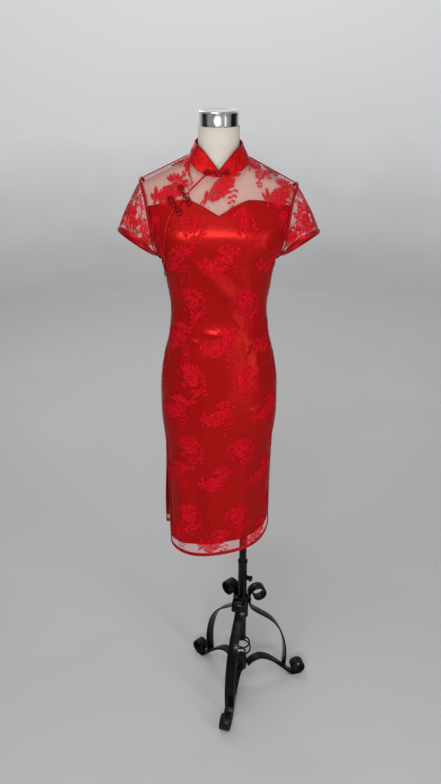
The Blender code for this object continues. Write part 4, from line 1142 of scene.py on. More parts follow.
def roll_over(outer, inner, normals, thick):
    """Sections of a roll from an outer line to an inner one, half of its thickness on each side."""
    part = 0.5 - 0.5 * np.cos(np.pi * np.arange(ROLL_PARTS + 1) / ROLL_PARTS)
    part = np.concatenate([part, part[-2:0:-1]])
    rise = np.sqrt(np.maximum(1 - (2 * part - 1) ** 2, 0)) ** 0.8
    rise[ROLL_PARTS + 1 :] *= -1
    half = thick / 2 * swell(len(outer))[:, None, None]
    across, up = (inner - outer)[:, None] * part[:, None], normals[:, None] * rise[:, None] * half
    return outer[:, None] + across + up


def metres_per_s(side, s, t):
    """How many metres of cloth one whole s is, at a place."""
    step = 0.02
    apart = body_points(side, s + step, t) - body_points(side, s - step, t)
    return np.linalg.norm(apart, axis=-1) / (2 * step)


# %% Hem, slit and opening edges
TRIM_LIFT, TRIM_THICK = 0.0027, 0.0034
OPENING_LIFT, OPENING_THICK, OPENING_END = LACE_LIFT + 0.0014, 0.0030, 1.985
HEM_BAND, SLIT_BAND, OPENING_BAND = 0.0118, 0.0078, 0.0046
SLIT_STEPS, HEM_STEPS = 110, 170


def hem_edge(name, side, s_of):
    """The roll down one slit, along the hem and up the other slit."""
    up, across = np.linspace(SLIT_TOP, 0, SLIT_STEPS), np.linspace(-1, 1, HEM_STEPS)
    t = np.concatenate([up, np.zeros(HEM_STEPS - 2), up[::-1]])
    foot = s_of(across[1:-1], 0 * across[1:-1])
    s = np.concatenate([s_of(-1 + 0 * up, up), foot, s_of(1 + 0 * up, up[::-1])])
    inset = SLIT_BAND / metres_per_s(side, np.sign(s) * 0.9, t)
    inset_t = HEM_BAND / (UNDERARM - LACE_HEM[side].low)
    inner_t = np.maximum(t, inset_t)
    inner_s = np.clip(s, s_of(-1 + 0 * t, inner_t) + inset, s_of(1 + 0 * t, inner_t) - inset)
    outer, normals = dress_points(side, s, t, TRIM_LIFT)
    inner, _ = dress_points(side, inner_s, inner_t, TRIM_LIFT)
    return bind(name, roll_over(outer, inner, normals, TRIM_THICK))


hem_front = hem_edge("hem_binding_front", FRONT, front_s)
hem_back = hem_edge("hem_binding_back", BACK, back_s)

OPENING_STEPS = 150
t = np.linspace(OPENING_START, OPENING_END, OPENING_STEPS)
s = left_edge(t)
outer, normals = dress_points(FRONT, s - 0.4 * SEAM_SHARE, t, OPENING_LIFT)
inner, _ = dress_points(FRONT, s + OPENING_BAND / metres_per_s(FRONT, s, t), t, OPENING_LIFT)
opening_edge = bind("opening_binding", roll_over(outer, inner, normals, OPENING_THICK))
print("the slanted opening is", round(lengths(outer)[-1], 3), "m long")

# %% [markdown]
# ## Sleeves
#
# Each cap sleeve is a short tube of lace from the armhole to its hem. Both ends are worked out, and
# the cloth between them bows out a little, more at the shoulder, as a set-in sleeve does. The roll
# at the armhole hides the seam. The hem's roll stands for a doubled one, so it is thicker.

# %% The armhole
ARM_MARKS, ARM_EACH, SLEEVE_ROWS = 8, 10, 52
ARM_STEPS = ARM_MARKS * ARM_EACH
SLEEVE_OUTER, SLEEVE_INNER = (0.246, 1.492), (0.161, 1.436)
SLEEVE_HALF_DEPTH, SLEEVE_TILT, SLEEVE_CROWN = 0.062, 0.42, 0.004
SLEEVE_START, SLEEVE_STEP = 0.0008, 0.0022
SLEEVE_BAND, SLEEVE_HEM_OVER, SLEEVE_HEM_THICK = 0.0105, 0.0008, 0.0042
ARMHOLE_BAND, ARMHOLE_LIFT, ARMHOLE_OVER, ARMHOLE_THICK = 0.0062, 0.0052, 0.0012, 0.0030
ARMPIT_TURN = 4.0


def round_curve(marks):
    """A smooth closed curve through a few marks."""
    a, b, c, d = (np.roll(marks, k, axis=0)[:, None] for k in (1, 0, -1, -2))
    u = (np.arange(ARM_EACH) / ARM_EACH)[None, :, None]
    return curve_between(a, b, c, d, u).reshape(-1, 3)


def armhole(side):
    """The closed edge of an armhole, up the front and down the back, and its outward normals."""
    ups = np.linspace(1, 2, ARM_MARKS + 1)
    downs = ups[::-1][1:-1]
    edge = np.concatenate([body_points(FRONT, side, ups), body_points(BACK, side, downs)])
    near = side * 0.99
    normals = np.concatenate([body_normals(FRONT, near, ups), body_normals(BACK, near, downs)])
    normals[0], normals[ARM_MARKS] = (side, 0, 0), (side * 0.45, 0, 0.9)
    return round_curve(edge), unit(round_curve(normals))


# %% The lace of a sleeve
def closed_way(path):
    """Which way a closed line of points runs, at each of them."""
    return unit(np.roll(path, -1, axis=0) - np.roll(path, 1, axis=0))


def sleeve_grid(side):
    """Rows of points from the armhole to the sleeve's hem, each row a closed loop."""
    edge, normals = armhole(side)
    a = math.pi * np.arange(2 * ARM_STEPS) / ARM_STEPS
    middle = [(p + q) / 2 for p, q in zip(SLEEVE_OUTER, SLEEVE_INNER)]
    reach = [(p - q) / 2 for p, q in zip(SLEEVE_OUTER, SLEEVE_INNER)]
    y = -SLEEVE_HALF_DEPTH * np.sin(a)
    x, z = (m - r * np.cos(a) for m, r in zip(middle, reach))
    hem = placed(side * x, y, z - SLEEVE_TILT * y)
    forward = closed_way(edge)
    reach_out = hem - edge - forward * np.sum((hem - edge) * forward, axis=1, keepdims=True)
    start = edge + unit(reach_out) * SLEEVE_START + normals * SLEEVE_STEP
    crown = np.sin(a / 2) ** 2
    w = np.linspace(0, 1, SLEEVE_ROWS)[:, None, None]
    rows = start * (1 - w) + hem * w
    outward = unit(rows - rows.mean(axis=1, keepdims=True))
    ripple = 1 + 0.25 * np.sin(5 * a + 0.8) + 0.15 * np.sin(9 * a)
    return rows + outward * (4 * w * (1 - w) * SLEEVE_CROWN) * (crown * ripple)[:, None]


SLEEVE_SPRAYS = (
    Spray("round", -0.062, -0.044, 10, 0.80),
    Spray("star", -0.122, -0.030, -12, 0.70),
    Spray("star", -0.010, -0.060, 5, 0.95),
    Spray("round", 0.050, -0.050, -8, 0.85),
    Spray("star", 0.108, -0.034, 8, 0.75),
    Spray("round", -0.020, -0.118, 0, 0.7),
)


def make_sleeve(side, word):
    """A tube of lace with its flat places, and the doubled roll round its hem."""
    grid = sleeve_grid(side)
    seamed = np.concatenate([grid, grid[:, :1]], axis=1)
    across, up = lengths(seamed, 1), lengths(seamed)
    across = side * (across - across[:, ARM_STEPS : ARM_STEPS + 1])
    flat = np.stack([across, up - up[-1]], axis=-1)
    normals = unit(seamed - seamed.mean(axis=1, keepdims=True))
    depth = flower_depth(flat, SLEEVE_SPRAYS)
    name = "sleeve_" + word
    mesh = grid_mesh(name, in_relief(seamed, normals, depth), normals, flat, depth)
    weld(mesh, SEAM_REACH, solid=False)
    sleeve = sewn(name, mesh, LACE)
    hem, back_in = grid[-1], unit(grid[-6] - grid[-1])
    outer, inner = hem - back_in * SLEEVE_HEM_OVER, hem + back_in * SLEEVE_BAND
    sections = roll_over(outer, inner, outward_of(grid), SLEEVE_HEM_THICK)
    band = bind("sleeve_hem_" + word, sections, closed=True)
    print(name, "hem is", round(lengths(hem)[-1], 3), "m round")
    return sleeve, band, seamed, flat


def outward_of(grid):
    """Unit normals along the last row of a tube, away from its middle."""
    normals = unit(np.cross(closed_way(grid[-1]), grid[-1] - grid[-4]))
    away = np.sum(normals * (grid[-1] - grid[-1].mean(axis=0)))
    return normals if away > 0 else -normals


# %% The roll over the armhole seam
def armhole_edge(side, word):
    """The roll that covers the armhole seam: on the panels' edge, and below it under the arm. Its
    outer line has no part of the band's width, and its inner line has all of it."""
    k = np.arange(2 * ARM_MARKS)
    up = np.minimum(k, 2 * ARM_MARKS - k) / ARM_MARKS
    under = 1 - ease(up * ARMPIT_TURN)
    lines = []
    for part in (0.0, 1.0):
        down = part * ARMHOLE_BAND / (UNDERARM - LACE_HEM[FRONT].low) * under
        halves = []
        for surface, chosen in ((FRONT, k <= ARM_MARKS), (BACK, k > ARM_MARKS)):
            in_by = part * ARMHOLE_BAND / metres_per_s(surface, side * 0.95, 1 + up) * (1 - under)
            found = body_points(surface, side * (1 - SEAM_SHARE - in_by), 1 + up - down)
            halves.append(np.where(chosen[:, None], found, 0))
        lines.append(round_curve(halves[0] + halves[1]))
    _, normals = armhole(side)
    outer, inner = (line + normals * ARMHOLE_LIFT for line in lines)
    outer = outer + unit(outer - inner) * ARMHOLE_OVER
    sections = roll_over(outer, inner, normals, ARMHOLE_THICK)
    return bind("armhole_binding_" + word, sections, closed=True)


sleeves = {side: make_sleeve(side, word) for side, word in SIDES}
arm_edges = {side: armhole_edge(side, word) for side, word in SIDES}

# %% [markdown]
# ## Shoulder seams
#
# The panels meet along the shoulders in a narrow seam, pressed flat and bound. A crease line drawn
# in the material would do from far off. A thin roll of its own also shows from the side.

# %% The shoulder seams
SHOULDER_BAND, SHOULDER_LIFT, SHOULDER_THICK = 0.0030, 0.0040, 0.0026
SHOULDER_ENDS = (NECK_SHARE + 0.03, 0.95)


def shoulder_edge(side, word):
    """A narrow roll along the shoulder seam, from the neck to the armhole."""
    line = body_points(FRONT, side * np.linspace(*SHOULDER_ENDS, 60), 2.0)
    up = unit(np.array((side * SHOULDER_SLOPE, 0, 1)))
    normals = np.broadcast_to(up, line.shape)
    edges = [line + normals * SHOULDER_LIFT + (0, y, 0) for y in (-SHOULDER_BAND, SHOULDER_BAND)]
    return bind("shoulder_binding_" + word, roll_over(*edges, normals, SHOULDER_THICK))


shoulder_edges = [shoulder_edge(side, word) for side, word in SIDES]

# %% [markdown]
# ## The stand collar
#
# The collar is stiffened, so it stands on its own from the neckline and leans in to the neck. Its
# foot follows the neckline, its top is a table of heights, and straight lines join the two. It is
# satin with the lace laid flat on it, so one material draws the flowers on a satin ground.

# %% The collar
COLLAR = table(
    "angle top depth",
    (0, 1.651, 0.0690),
    (15, 1.667, 0.0625),
    (30, 1.682, 0.0590),
    (45, 1.693, 0.0575),
    (60, 1.699, 0.0575),
    (90, 1.704, 0.0530),
    (135, 1.711, 0.0480),
    (180, 1.714, 0.0480),
)
COLLAR_DEPTH, COLLAR_TOP = smooth_rows(COLLAR, "depth"), smooth_rows(COLLAR, "top")
COLLAR_HALF, COLLAR_LIFT, COLLAR_THICK, COLLAR_BAND = 0.0535, 0.0037, 0.0013, 0.0042
COLLAR_OPEN, COLLAR_STEPS, COLLAR_ROWS = 0.35, 170, 22
NECK_TURN = 10.0


def neckline(angle):
    """The neck's edge, round from the front in degrees, and the panels' normals there."""
    round_it = np.abs(angle)
    front_share = NECK_SHARE * np.sign(angle) * np.minimum(round_it, 90) / 90
    back_share = NECK_SHARE * np.sign(angle) * np.minimum(180 - round_it, 90) / 90
    at_back = ease((round_it - 90 + NECK_TURN) / (2 * NECK_TURN))[:, None]
    front, back = body_points(FRONT, front_share, 2.0), body_points(BACK, back_share, 2.0)
    ahead, behind = body_normals(FRONT, front_share, 1.99), body_normals(BACK, back_share, 1.99)
    normals = ahead * (1 - at_back) + behind * at_back
    return np.where((round_it <= 90)[:, None], front, back), unit(normals)


def collar_points(angle, up):
    """The collar's inner face, round from the front, from its foot (0) to its top edge (1)."""
    edge, normals = neckline(angle)
    foot = edge + normals * COLLAR_LIFT
    a = np.radians(angle)
    depth, height = (read(curve, np.abs(angle)) for curve in (COLLAR_DEPTH, COLLAR_TOP))
    top = placed(COLLAR_HALF * np.sin(a), -depth * np.cos(a), height)
    return foot + (top - foot) * np.expand_dims(up, -1)


def grid_normals(points, away_from):
    """Normals of a grid, turned away from a point or a line of points."""
    normals = unit(np.cross(np.gradient(points, axis=1), np.gradient(points, axis=0)))
    return normals if np.sum(normals * (points - away_from)) > 0 else -normals


def from_front(angle):
    """An angle from 0 to 360 as one from -180 to 180."""
    return np.where(angle <= 180, angle, angle - 360)


NECK_AXIS = np.array((FORM_X, FORM_Y, 1.68))
COLLAR_ANGLES = from_front(np.linspace(COLLAR_OPEN, 360 - COLLAR_OPEN, COLLAR_STEPS))
rows = [np.full(COLLAR_STEPS, up) for up in np.linspace(0, 1, COLLAR_ROWS)]
grid = np.array([collar_points(COLLAR_ANGLES, up) for up in rows])
normals = grid_normals(grid, NECK_AXIS)
flat = flat_places(grid, lambda z: 0.0, 0)
flat[..., 0] -= flat[:, :1, 0]
flat[..., 1] -= flat[:1, :, 1]
flat[..., 0] = np.abs(flat[..., 0])
collar_length = float(flat[0, -1, 0])
print("the collar is", round(collar_length, 3), "m long")
COLLAR_SPRAYS = [
    Spray(kind, start * collar_length, 0.020, turn, 0.52)
    for kind, start, turn in (
        ("round", 0.075, 15),
        ("star", 0.19, -10),
        ("round", 0.31, 5),
        ("star", 0.43, 0),
        ("round", 0.55, 10),
        ("star", 0.67, -5),
        ("round", 0.79, 8),
        ("star", 0.91, -12),
    )
]
depth = flower_depth(flat, COLLAR_SPRAYS)
outside = in_relief(grid, normals, depth, COLLAR_THICK)
mesh = grid_mesh("collar", outside, normals, flat, depth)
collar = sewn("collar", mesh, COLLAR_CLOTH)
thicken(collar, COLLAR_THICK)
collar_grid, collar_flat = grid, flat

# %% The collar's edge
EDGE_STEPS, EDGE_LIFT, EDGE_THICK, EDGE_RADIUS = 20, 0.0004, 0.0034, 0.062


def collar_edge():
    """The roll up one front edge, along the top and down the other front edge."""
    rise = np.linspace(0.04, 1, EDGE_STEPS)
    angle = COLLAR_ANGLES
    first, last = (np.full(EDGE_STEPS, angle[end]) for end in (0, -1))
    angles = np.concatenate([first, angle[1:-1], last])
    up = np.concatenate([rise, np.ones(len(angle) - 2), rise[::-1]])
    foot, top = collar_points(angles, 0 * up), collar_points(angles, 1.0 + 0 * up)
    inner_up = np.minimum(up, 1 - COLLAR_BAND / np.linalg.norm(top - foot, axis=-1))
    turn = np.degrees(COLLAR_BAND / EDGE_RADIUS)
    inner_angle = from_front(np.clip(angles % 360, angle[0] + turn, 360 - angle[0] - turn))
    outer, inner = collar_points(angles, up), collar_points(inner_angle, inner_up)
    way = unit(np.gradient(outer, axis=0))
    normals = unit(np.cross(way, inner - outer))
    normals = normals * np.sign(np.sum(normals * (outer - NECK_AXIS), axis=1, keepdims=True))
    lift = normals * (COLLAR_THICK / 2 + EDGE_LIFT)
    return roll_over(outer + lift, inner + lift, normals, EDGE_THICK)


collar_roll = bind("collar_binding", collar_edge())

# %% [markdown]
# ## Frog fasteners
#
# A frog is one satin cord, coiled into a rosette on each side of the opening. One half ends in a
# ball knot and the other in a loop that slips over it. The cord is swept along its path on the
# chest, and its section turns as it goes, which gives the twisted look of rolled bias cloth.

# %% The frogs' lines on the cloth
CORD, KNOT = 0.0022, 0.0055
ROSETTE_START, ROSETTE_PITCH, ROSETTE_TURNS, ROSETTE_END = 0.0022, 0.0037, 1.25, 90
ROSETTE_TAIL = ((-0.0040, 0.0058), (-0.0064, 0.0032))
LOOP_GAP, FROG_LIFT, NECK_FROG_LIFT = 0.0027, 0.0078, 0.0056
CORD_SIDES, CORD_PLIES, PLY_TURN, PLY_DEPTH, CORD_STEP = 12, 2, 420, 0.16, 0.0007
ChestFrog = namedtuple("ChestFrog", "x z slant half_length")
CHEST_FROGS = {
    "upper": ChestFrog(-0.0780, 1.5940, -58, 0.0150),
    "lower": ChestFrog(-0.1010, 1.5710, -52, 0.0140),
}
NECK_FROG_X, NECK_FROG_Z, NECK_FROG_HALF, NECK_FROG_BEND = -0.005, 1.6445, 0.024, 0.0690


def smooth_line(rows, step):
    """Evenly spaced points of a smooth curve through rows of numbers."""
    p = np.array(rows, float)
    p = np.vstack([2 * p[0] - p[1], p, 2 * p[-1] - p[-2]])
    u = np.linspace(0, 1, 16, endpoint=False)[:, None]
    parts = [curve_between(*marks, u) for marks in zip(p[:-3], p[1:-2], p[2:-1], p[3:])]
    out = np.concatenate([*parts, p[-2:-1]])
    length = lengths(out)
    at = np.linspace(0, length[-1], max(int(round(length[-1] / step)), 2))
    return np.stack([np.interp(at, length, column) for column in out.T], axis=1)


def frog_half(way, half_length):
    """One half of a frog, flat: along it, across it, and the cord's radius."""
    rows = []
    for k in range(19):
        turn = 2 * math.pi * ROSETTE_TURNS * k / 18
        r = ROSETTE_START + ROSETTE_PITCH * turn / (2 * math.pi)
        a = turn - 2 * math.pi * ROSETTE_TURNS + math.radians(ROSETTE_END)
        rows.append((half_length + r * math.cos(a), r * math.sin(a), CORD))
    rows += [(half_length + p, q, CORD) for p, q in ROSETTE_TAIL]
    rows.append((KNOT + LOOP_GAP if way < 0 else KNOT * 1.02, 0.0, CORD))
    flat = smooth_line(rows, CORD_STEP)
    if way < 0:
        return flat * (-1, 1, 1)
    a = np.linspace(0.15, math.pi - 0.02, 16)
    ball = np.stack([KNOT * np.cos(a), 0 * a, np.maximum(KNOT * np.sin(a), 0.0006)], axis=1)
    return np.concatenate([flat, ball])


def on_chest(frog, p, q):
    """Places along and across a frog, laid on the chest, and the normals there."""
    a = math.radians(frog.slant)
    x = frog.x + p * math.cos(a) - q * math.sin(a)
    z = frog.z + p * math.sin(a) + q * math.cos(a)
    here = chest_points(FRONT, x, z)
    across, up = chest_points(FRONT, x + 1e-3, z) - here, chest_points(FRONT, x, z + 1e-3) - here
    normals = unit(np.cross(across, up))
    return here + normals * (FROG_LIFT + folds(FRONT, here))[:, None], normals


def on_collar(p, q):
    """The same for the frog that closes the collar."""
    x, z = NECK_FROG_X + p, NECK_FROG_Z + q
    angle = np.degrees(np.arcsin(x / NECK_FROG_BEND))

    def at(angle, z):
        foot, top = collar_points(angle, 0 * angle), collar_points(angle, 1 + 0 * angle)
        return foot + (top - foot) * ((z - foot[:, 2]) / (top[:, 2] - foot[:, 2]))[:, None]

    here = at(angle, z)
    normals = unit(np.cross(at(angle + 0.5, z) - here, at(angle, z + 1e-3) - here))
    return here + normals * NECK_FROG_LIFT, normals


# %% The cords swept along them
def cord_sections(path, radii, ups):
    """Loops round a path, with plies that wind along it."""
    way = unit(np.gradient(path, axis=0))
    across = unit(np.cross(way, ups))
    ups = np.cross(across, way)
    along = lengths(path)
    a = 2 * math.pi * np.arange(CORD_SIDES) / CORD_SIDES
    ply = 1 - PLY_DEPTH * np.abs(np.sin(CORD_PLIES * (a[None] / 2 + along[:, None] * PLY_TURN * 2)))
    out = across[:, None] * np.cos(a)[:, None] + ups[:, None] * np.sin(a)[:, None]
    return path[:, None] + out * (np.asarray(radii)[:, None] * ply)[..., None]


def make_frog(name, half_length, place):
    """Both halves of a frog, laid where the given function places them."""
    for way, word in ((-1, "loop"), (1, "knot")):
        p, q, radii = frog_half(way, half_length).T
        path, ups = place(p, q)
        path = path + ups * (radii - CORD)[:, None] * 0.8
        bind(f"frog_{name}_{word}", cord_sections(path, radii, ups), finish=CORD_SATIN)


make_frog("neck", NECK_FROG_HALF, on_collar)
for word, frog in CHEST_FROGS.items():
    make_frog(word, frog.half_length, lambda p, q: on_chest(frog, p, q))

# %% [markdown]
# ## Jersey, polished metal and black paint
#
# The form is covered in cream jersey, whose knit is far too fine to model, so it is rows of small
# loops in bump. Its cap is polished metal, which shows little but what stands round it. To build
# a studio for it to mirror would be long work, so soft dark bands of painted reflection are drawn
# in its colour. The iron is painted, glossy on some pieces and worn and dented on others. One
# function makes all of the blacks from a few numbers, so they look like one maker's paint.

# %% Jersey, metal and paint
CAP_TOP, CAP_RADIUS, CAP_RIM = 1.774, 0.0455, 0.0035
CAP_PAINTED_REFLECTIONS = ((-0.70, 0.20, 0.95), (-0.22, 0.10, 0.35), (0.34, 0.16, 0.8), (0.76, 0.26, 1.0))
CREAM = (0.47, 0.435, 0.375)
jersey = Finish("cream jersey", CREAM, 0.88, sheen_weight=0.15, specular_ior_level=0.25)
place = jersey.place()
x, y, z = jersey.axes(place)
loops = ((z * 3600).sine() * ((x + y) * 3600).sine()) * 0.5 + 0.5
worn = jersey.noise(place, 14, 3)
shade = (worn * 1.2 - 0.25 + loops * 0.1).held()
jersey.set(base_color=jersey.blend(shade, (0.49, 0.46, 0.40), (0.42, 0.385, 0.325)))
jersey.bump(loops * 0.7 + worn * 0.3, 0.0004, 0.5)

CAP_METAL = Finish("polished cap metal", (0.62, 0.62, 0.63), 0.08, metallic=1.0)
place = CAP_METAL.place()
across, _, height = CAP_METAL.axes(place)
across = (across - FORM_X) / CAP_RADIUS
smudge_and_painted_reflection = CAP_METAL.noise(place, 30, 3)
brushed = CAP_METAL.noise(CAP_METAL.scaled(place, (40, 40, 1800)), 1.0, 2)
wall = ((CAP_TOP - CAP_RIM - height) * 900).held()
# Painted reflection: dark bands round the cap's wall, with soft mottling, are drawn into its colour
# in place of the surroundings that polished metal would mirror.
dark = across * 0
for middle, width, depth in CAP_PAINTED_REFLECTIONS:
    dark = dark + (1.6 - (across - middle).size() * (1.6 / width)).held() * depth
shade = (dark * wall + smudge_and_painted_reflection * 0.2 - 0.1).held()
CAP_METAL.set(
    roughness=(0.11 + smudge_and_painted_reflection * 0.10 + brushed * 0.04).held(),
    base_color=CAP_METAL.blend(shade, (0.78, 0.78, 0.78), (0.020, 0.017, 0.014)),
)
CAP_METAL.bump(brushed, 0.00004, 0.4)


def black_finish(name, colour, worn, roughness, hammer):
    """Black paint on metal: pooled a little unevenly, and dented where it was hammered."""
    black = Finish(name, colour, roughness, specular_ior_level=0.08, coat_weight=0.05)
    scales = (26, 3), (120, 2), (900, 2)
    place = black.place()
    blotch, dents, grit = (black.noise(place, scale, detail) for scale, detail in scales)
    black.set(
        base_color=black.blend((blotch * 2.2 - 0.9).held(), colour, worn),
        roughness=(roughness - 0.05 + blotch * 0.16 + grit * 0.05).held(),
    )
    black.bump(dents * hammer + grit * 0.15 + blotch * 0.2, 0.0009, 0.6)
    return black


GLOSS, GLOSS_WORN = (0.0022, 0.0022, 0.0026), (0.0060, 0.0055, 0.0050)
MATT, MATT_WORN = (0.0045, 0.0042, 0.0042), (0.0130, 0.0110, 0.0095)
STEEL, STEEL_WORN = (0.0045, 0.0045, 0.0050), (0.0090, 0.0090, 0.0095)
IRON = black_finish("gloss black iron", GLOSS, GLOSS_WORN, 0.18, 0.4)
IRON_MATT = black_finish("matt black iron", MATT, MATT_WORN, 0.30, 0.9)
POLE_STEEL = black_finish("black pole steel", STEEL, STEEL_WORN, 0.22, 0.1)

# %% [markdown]
# ## The form
#
# The form is a hard shell under the stretched jersey. It follows the same surface as the dress,
# 3 mm further in, and closes with two oval plates where arms would be, a flat base and a neck that
# ends under the metal cap. It could be sculpted from a ball. Taken from the dress's own surface, it
# stays clear of the cloth all over.

# %% The torso's halves
FORM_BOTTOM, NECK_TOP = 0.945, 1.741
FORM_CLEARANCE, TOP_SINK = 0.0032, 0.0040
FORM_ACROSS, FORM_LOW_ROWS, FORM_CHEST_ROWS = 96, 60, 60
NECK_HALF, NECK_DEPTH, NECK_Y, NECK_FOOT_TOP = 0.0485, 0.0450, -0.001, 1.700
NECK_CURVE = table(
    "step inward upward",
    (0, 0.0, 0.0),
    (1, 0.60, 0.25),
    (2, 0.86, 0.50),
    (3, 0.97, 0.78),
    (4, 1.0, 1.0),
)
NECK_RINGS, TORSO_SEAM_REACH = 16, 1e-5
PLATE_RINGS = (
    (0.985, -0.0012),
    (0.955, -0.0012),
    (0.940, 0.0004),
    (0.75, 0.0018),
    (0.4, 0.0030),
    (0.1, 0.0034),
)
BASE_RINGS = ((0.97, -0.0006), (0.90, 0.0), (0.5, 0.0), (0.1, 0.0))


def form_half(side):
    """Half of the form's surface, from its foot to the shoulder line and the neck's foot."""
    across = np.linspace(-1, 1, FORM_ACROSS + 1)[None]
    low = np.linspace(FORM_BOTTOM, UNDERARM, FORM_LOW_ROWS)[:, None]
    high = np.linspace(1, 2, FORM_CHEST_ROWS)[1:, None] + 0 * across
    t = np.concatenate([height_t(low, side, across), high])
    sink = FORM_CLEARANCE + TOP_SINK * ease((t - 1.75) / 0.25)
    return body_points(side, across, t) - body_normals(side, across, t) * sink[..., None]


# %% The torso, whole
def torso_mesh():
    """The halves joined at the sides and shoulders, with arm plates, a base and a neck. The grids
    only touch at first, and one weld at the end joins them."""
    front, back = form_half(FRONT), form_half(BACK)
    across = np.linspace(-1, 1, FORM_ACROSS + 1)
    for half in (0, -1):
        shared = (front[:FORM_LOW_ROWS, half] + back[:FORM_LOW_ROWS, half]) / 2
        front[:FORM_LOW_ROWS, half] = back[:FORM_LOW_ROWS, half] = shared
    outer = np.abs(across) >= NECK_SHARE - 1e-6
    shared = (front[-1] + back[-1]) / 2
    front[-1][outer] = back[-1][outer] = shared[outer]
    points, faces = [], []

    def add(grid, closed=False):
        """A grid of points and its faces."""
        first = sum(len(p) for p in points)
        points.append(grid.reshape(-1, 3))
        faces.extend(grid_faces(*grid.shape[:2], closed, first).tolist())

    def cover(loop, rings, out):
        """A plate over a loop, made of smaller and smaller copies of it, lifted outwards."""
        heart, out = loop.mean(axis=0), np.array(out)
        grids = [loop, *(heart + (loop - heart) * share + out * lift for share, lift in rings)]
        add(np.array(grids), closed=True)
        first = sum(len(p) for p in points)
        points.append(grids[-1])
        faces.append(list(range(first, first + len(loop))))

    add(front)
    add(back)
    inner = np.flatnonzero(np.abs(across) <= NECK_SHARE + 1e-6)
    inner = np.arange(inner[0] - 1, inner[-1] + 2)
    loop = np.concatenate([front[-1][inner], back[-1][inner[::-1][1:-1]]])
    a = np.arctan2(loop[:, 0] - FORM_X, -(loop[:, 1] - FORM_Y - NECK_Y))
    x, y = FORM_X + NECK_HALF * np.sin(a), FORM_Y + NECK_Y - NECK_DEPTH * np.cos(a)
    goal = np.stack([x, y, np.full(a.shape, NECK_FOOT_TOP)], axis=1)
    steps = np.linspace(0, 4, NECK_RINGS)
    inward, upward = (read(smooth_rows(NECK_CURVE, word), steps) for word in ("inward", "upward"))
    rings = [loop + (goal - loop) * (w, w, z) for w, z in zip(inward, upward)]
    top = rings[-1].copy()
    top[:, 2] = NECK_TOP - 0.0003
    add(np.array(rings + [top]), closed=True)
    cover(top, ((0.5, 0), (0.1, 0)), (0, 0, 1))
    cover(np.concatenate([front[0], back[0][::-1][1:-1]]), BASE_RINGS, (0, 0, -1))
    last = FORM_LOW_ROWS - 1
    for end, side in ((0, LEFT), (-1, RIGHT)):
        loop = np.concatenate([front[last:, end], back[last + 1 : -1, end][::-1]])
        cover(loop, PLATE_RINGS, (side, 0, 0))
    mesh = bpy.data.meshes.new("form_torso")
    mesh.from_pydata(np.concatenate(points).tolist(), [], faces)
    print("the torso has", weld(mesh, TORSO_SEAM_REACH), "open edges")
    return mesh


torso = sewn("form_torso", torso_mesh(), jersey)

# %% [markdown]
# ## Turned pieces
#
# The cap, pole, tube, rings and knob are all turned on a lathe. In Blender that can be a spin or a
# Screw modifier. Here each starts as a circle that is extruded upwards and resized at every row of
# a short table, which is easy to follow and gives clean rings. A bevel then softens the edges.

# %% A lathe made of operators
BEVEL_ANGLE, SMOOTH_ANGLE = 38, 35


def finish_hard(node, finish, body, bevel=0.0006):
    """Bevels the active object's edges and hands it over."""
    piece = bpy.context.view_layer.objects.active
    bpy.ops.object.transform_apply(location=True, rotation=True, scale=True)
    if bevel:
        edge = piece.modifiers.new("bevel", "BEVEL")
        edge.width, edge.segments, edge.limit_method = bevel, 3, "ANGLE"
        edge.angle_limit = math.radians(BEVEL_ANGLE)
        bpy.ops.object.modifier_apply(modifier=edge.name)
    bpy.ops.object.shade_smooth_by_angle(angle=math.radians(SMOOTH_ANGLE))
    piece.name = "turned_" + node
    piece.select_set(False)
    return hand_over(piece, node, finish, body)


def turn_up(rows, sides=48, hollow=False):
    """A circle extruded through rows of (radius, height). A hollow one comes back to its start."""
    bpy.ops.object.select_all(action="DESELECT")
    radius, height = rows[0]
    fill, place = "NOTHING" if hollow else "NGON", (0, 0, height)
    bpy.ops.mesh.primitive_circle_add(
        vertices=sides, radius=radius, fill_type=fill, location=place
    )
    bpy.ops.object.transform_apply(location=True)
    bpy.ops.object.mode_set(mode="EDIT")
    bpy.ops.mesh.select_all(action="SELECT")
    for r, h in [*rows[1:], *(rows[:1] if hollow else [])]:
        bpy.ops.mesh.extrude_region_move(TRANSFORM_OT_translate={"value": (0, 0, h - height)})
        bpy.ops.transform.resize(value=(r / radius, r / radius, 1), center_override=(0, 0, h))
        radius, height = r, h
    bpy.ops.mesh.select_all(action="SELECT")
    bpy.ops.mesh.remove_doubles(threshold=SEAM_REACH)
    bpy.ops.mesh.normals_make_consistent(inside=False)
    bpy.ops.object.mode_set(mode="OBJECT")
    return bpy.context.view_layer.objects.active


def set_on(axis_point, along=(0, 0, 1)):
    """Stands the active object's Z axis on a point, along a direction."""
    piece = bpy.context.view_layer.objects.active
    turn = Vector(along).to_track_quat("Z", "Y").to_matrix().to_4x4()
    piece.matrix_world = Matrix.Translation(axis_point) @ turn
    bpy.ops.object.transform_apply(location=True, rotation=True, scale=True)


def turned(node, rows, finish, body, slot, at, along=(0, 0, 1), bevel=0.0006, **shape):
    """A turned piece from its table of rows, stood in its place."""
    turn_up(rows, **shape)
    set_on(at, along)
    finish_hard(node, finish, body, bevel)


# %% The neck cap
rise = CAP_TOP - NECK_TOP
turned(
    "neck_cap",
    [
        (CAP_RADIUS - 0.0010, 0),
        (CAP_RADIUS, 0.0010),
        (CAP_RADIUS, rise - 0.0030),
        (CAP_RADIUS - 0.0010, rise - 0.0010),
        (CAP_RADIUS - 0.0034, rise - 0.0002),
        (CAP_RADIUS - 0.0060, rise - 0.0010),
        (0.0300, rise - 0.0006),
        (0.0080, rise),
    ],
    CAP_METAL,
    "form",
    "cap_metal",
    at=(FORM_X, FORM_Y + NECK_Y, NECK_TOP),
    bevel=0.0004,
    sides=96,
)

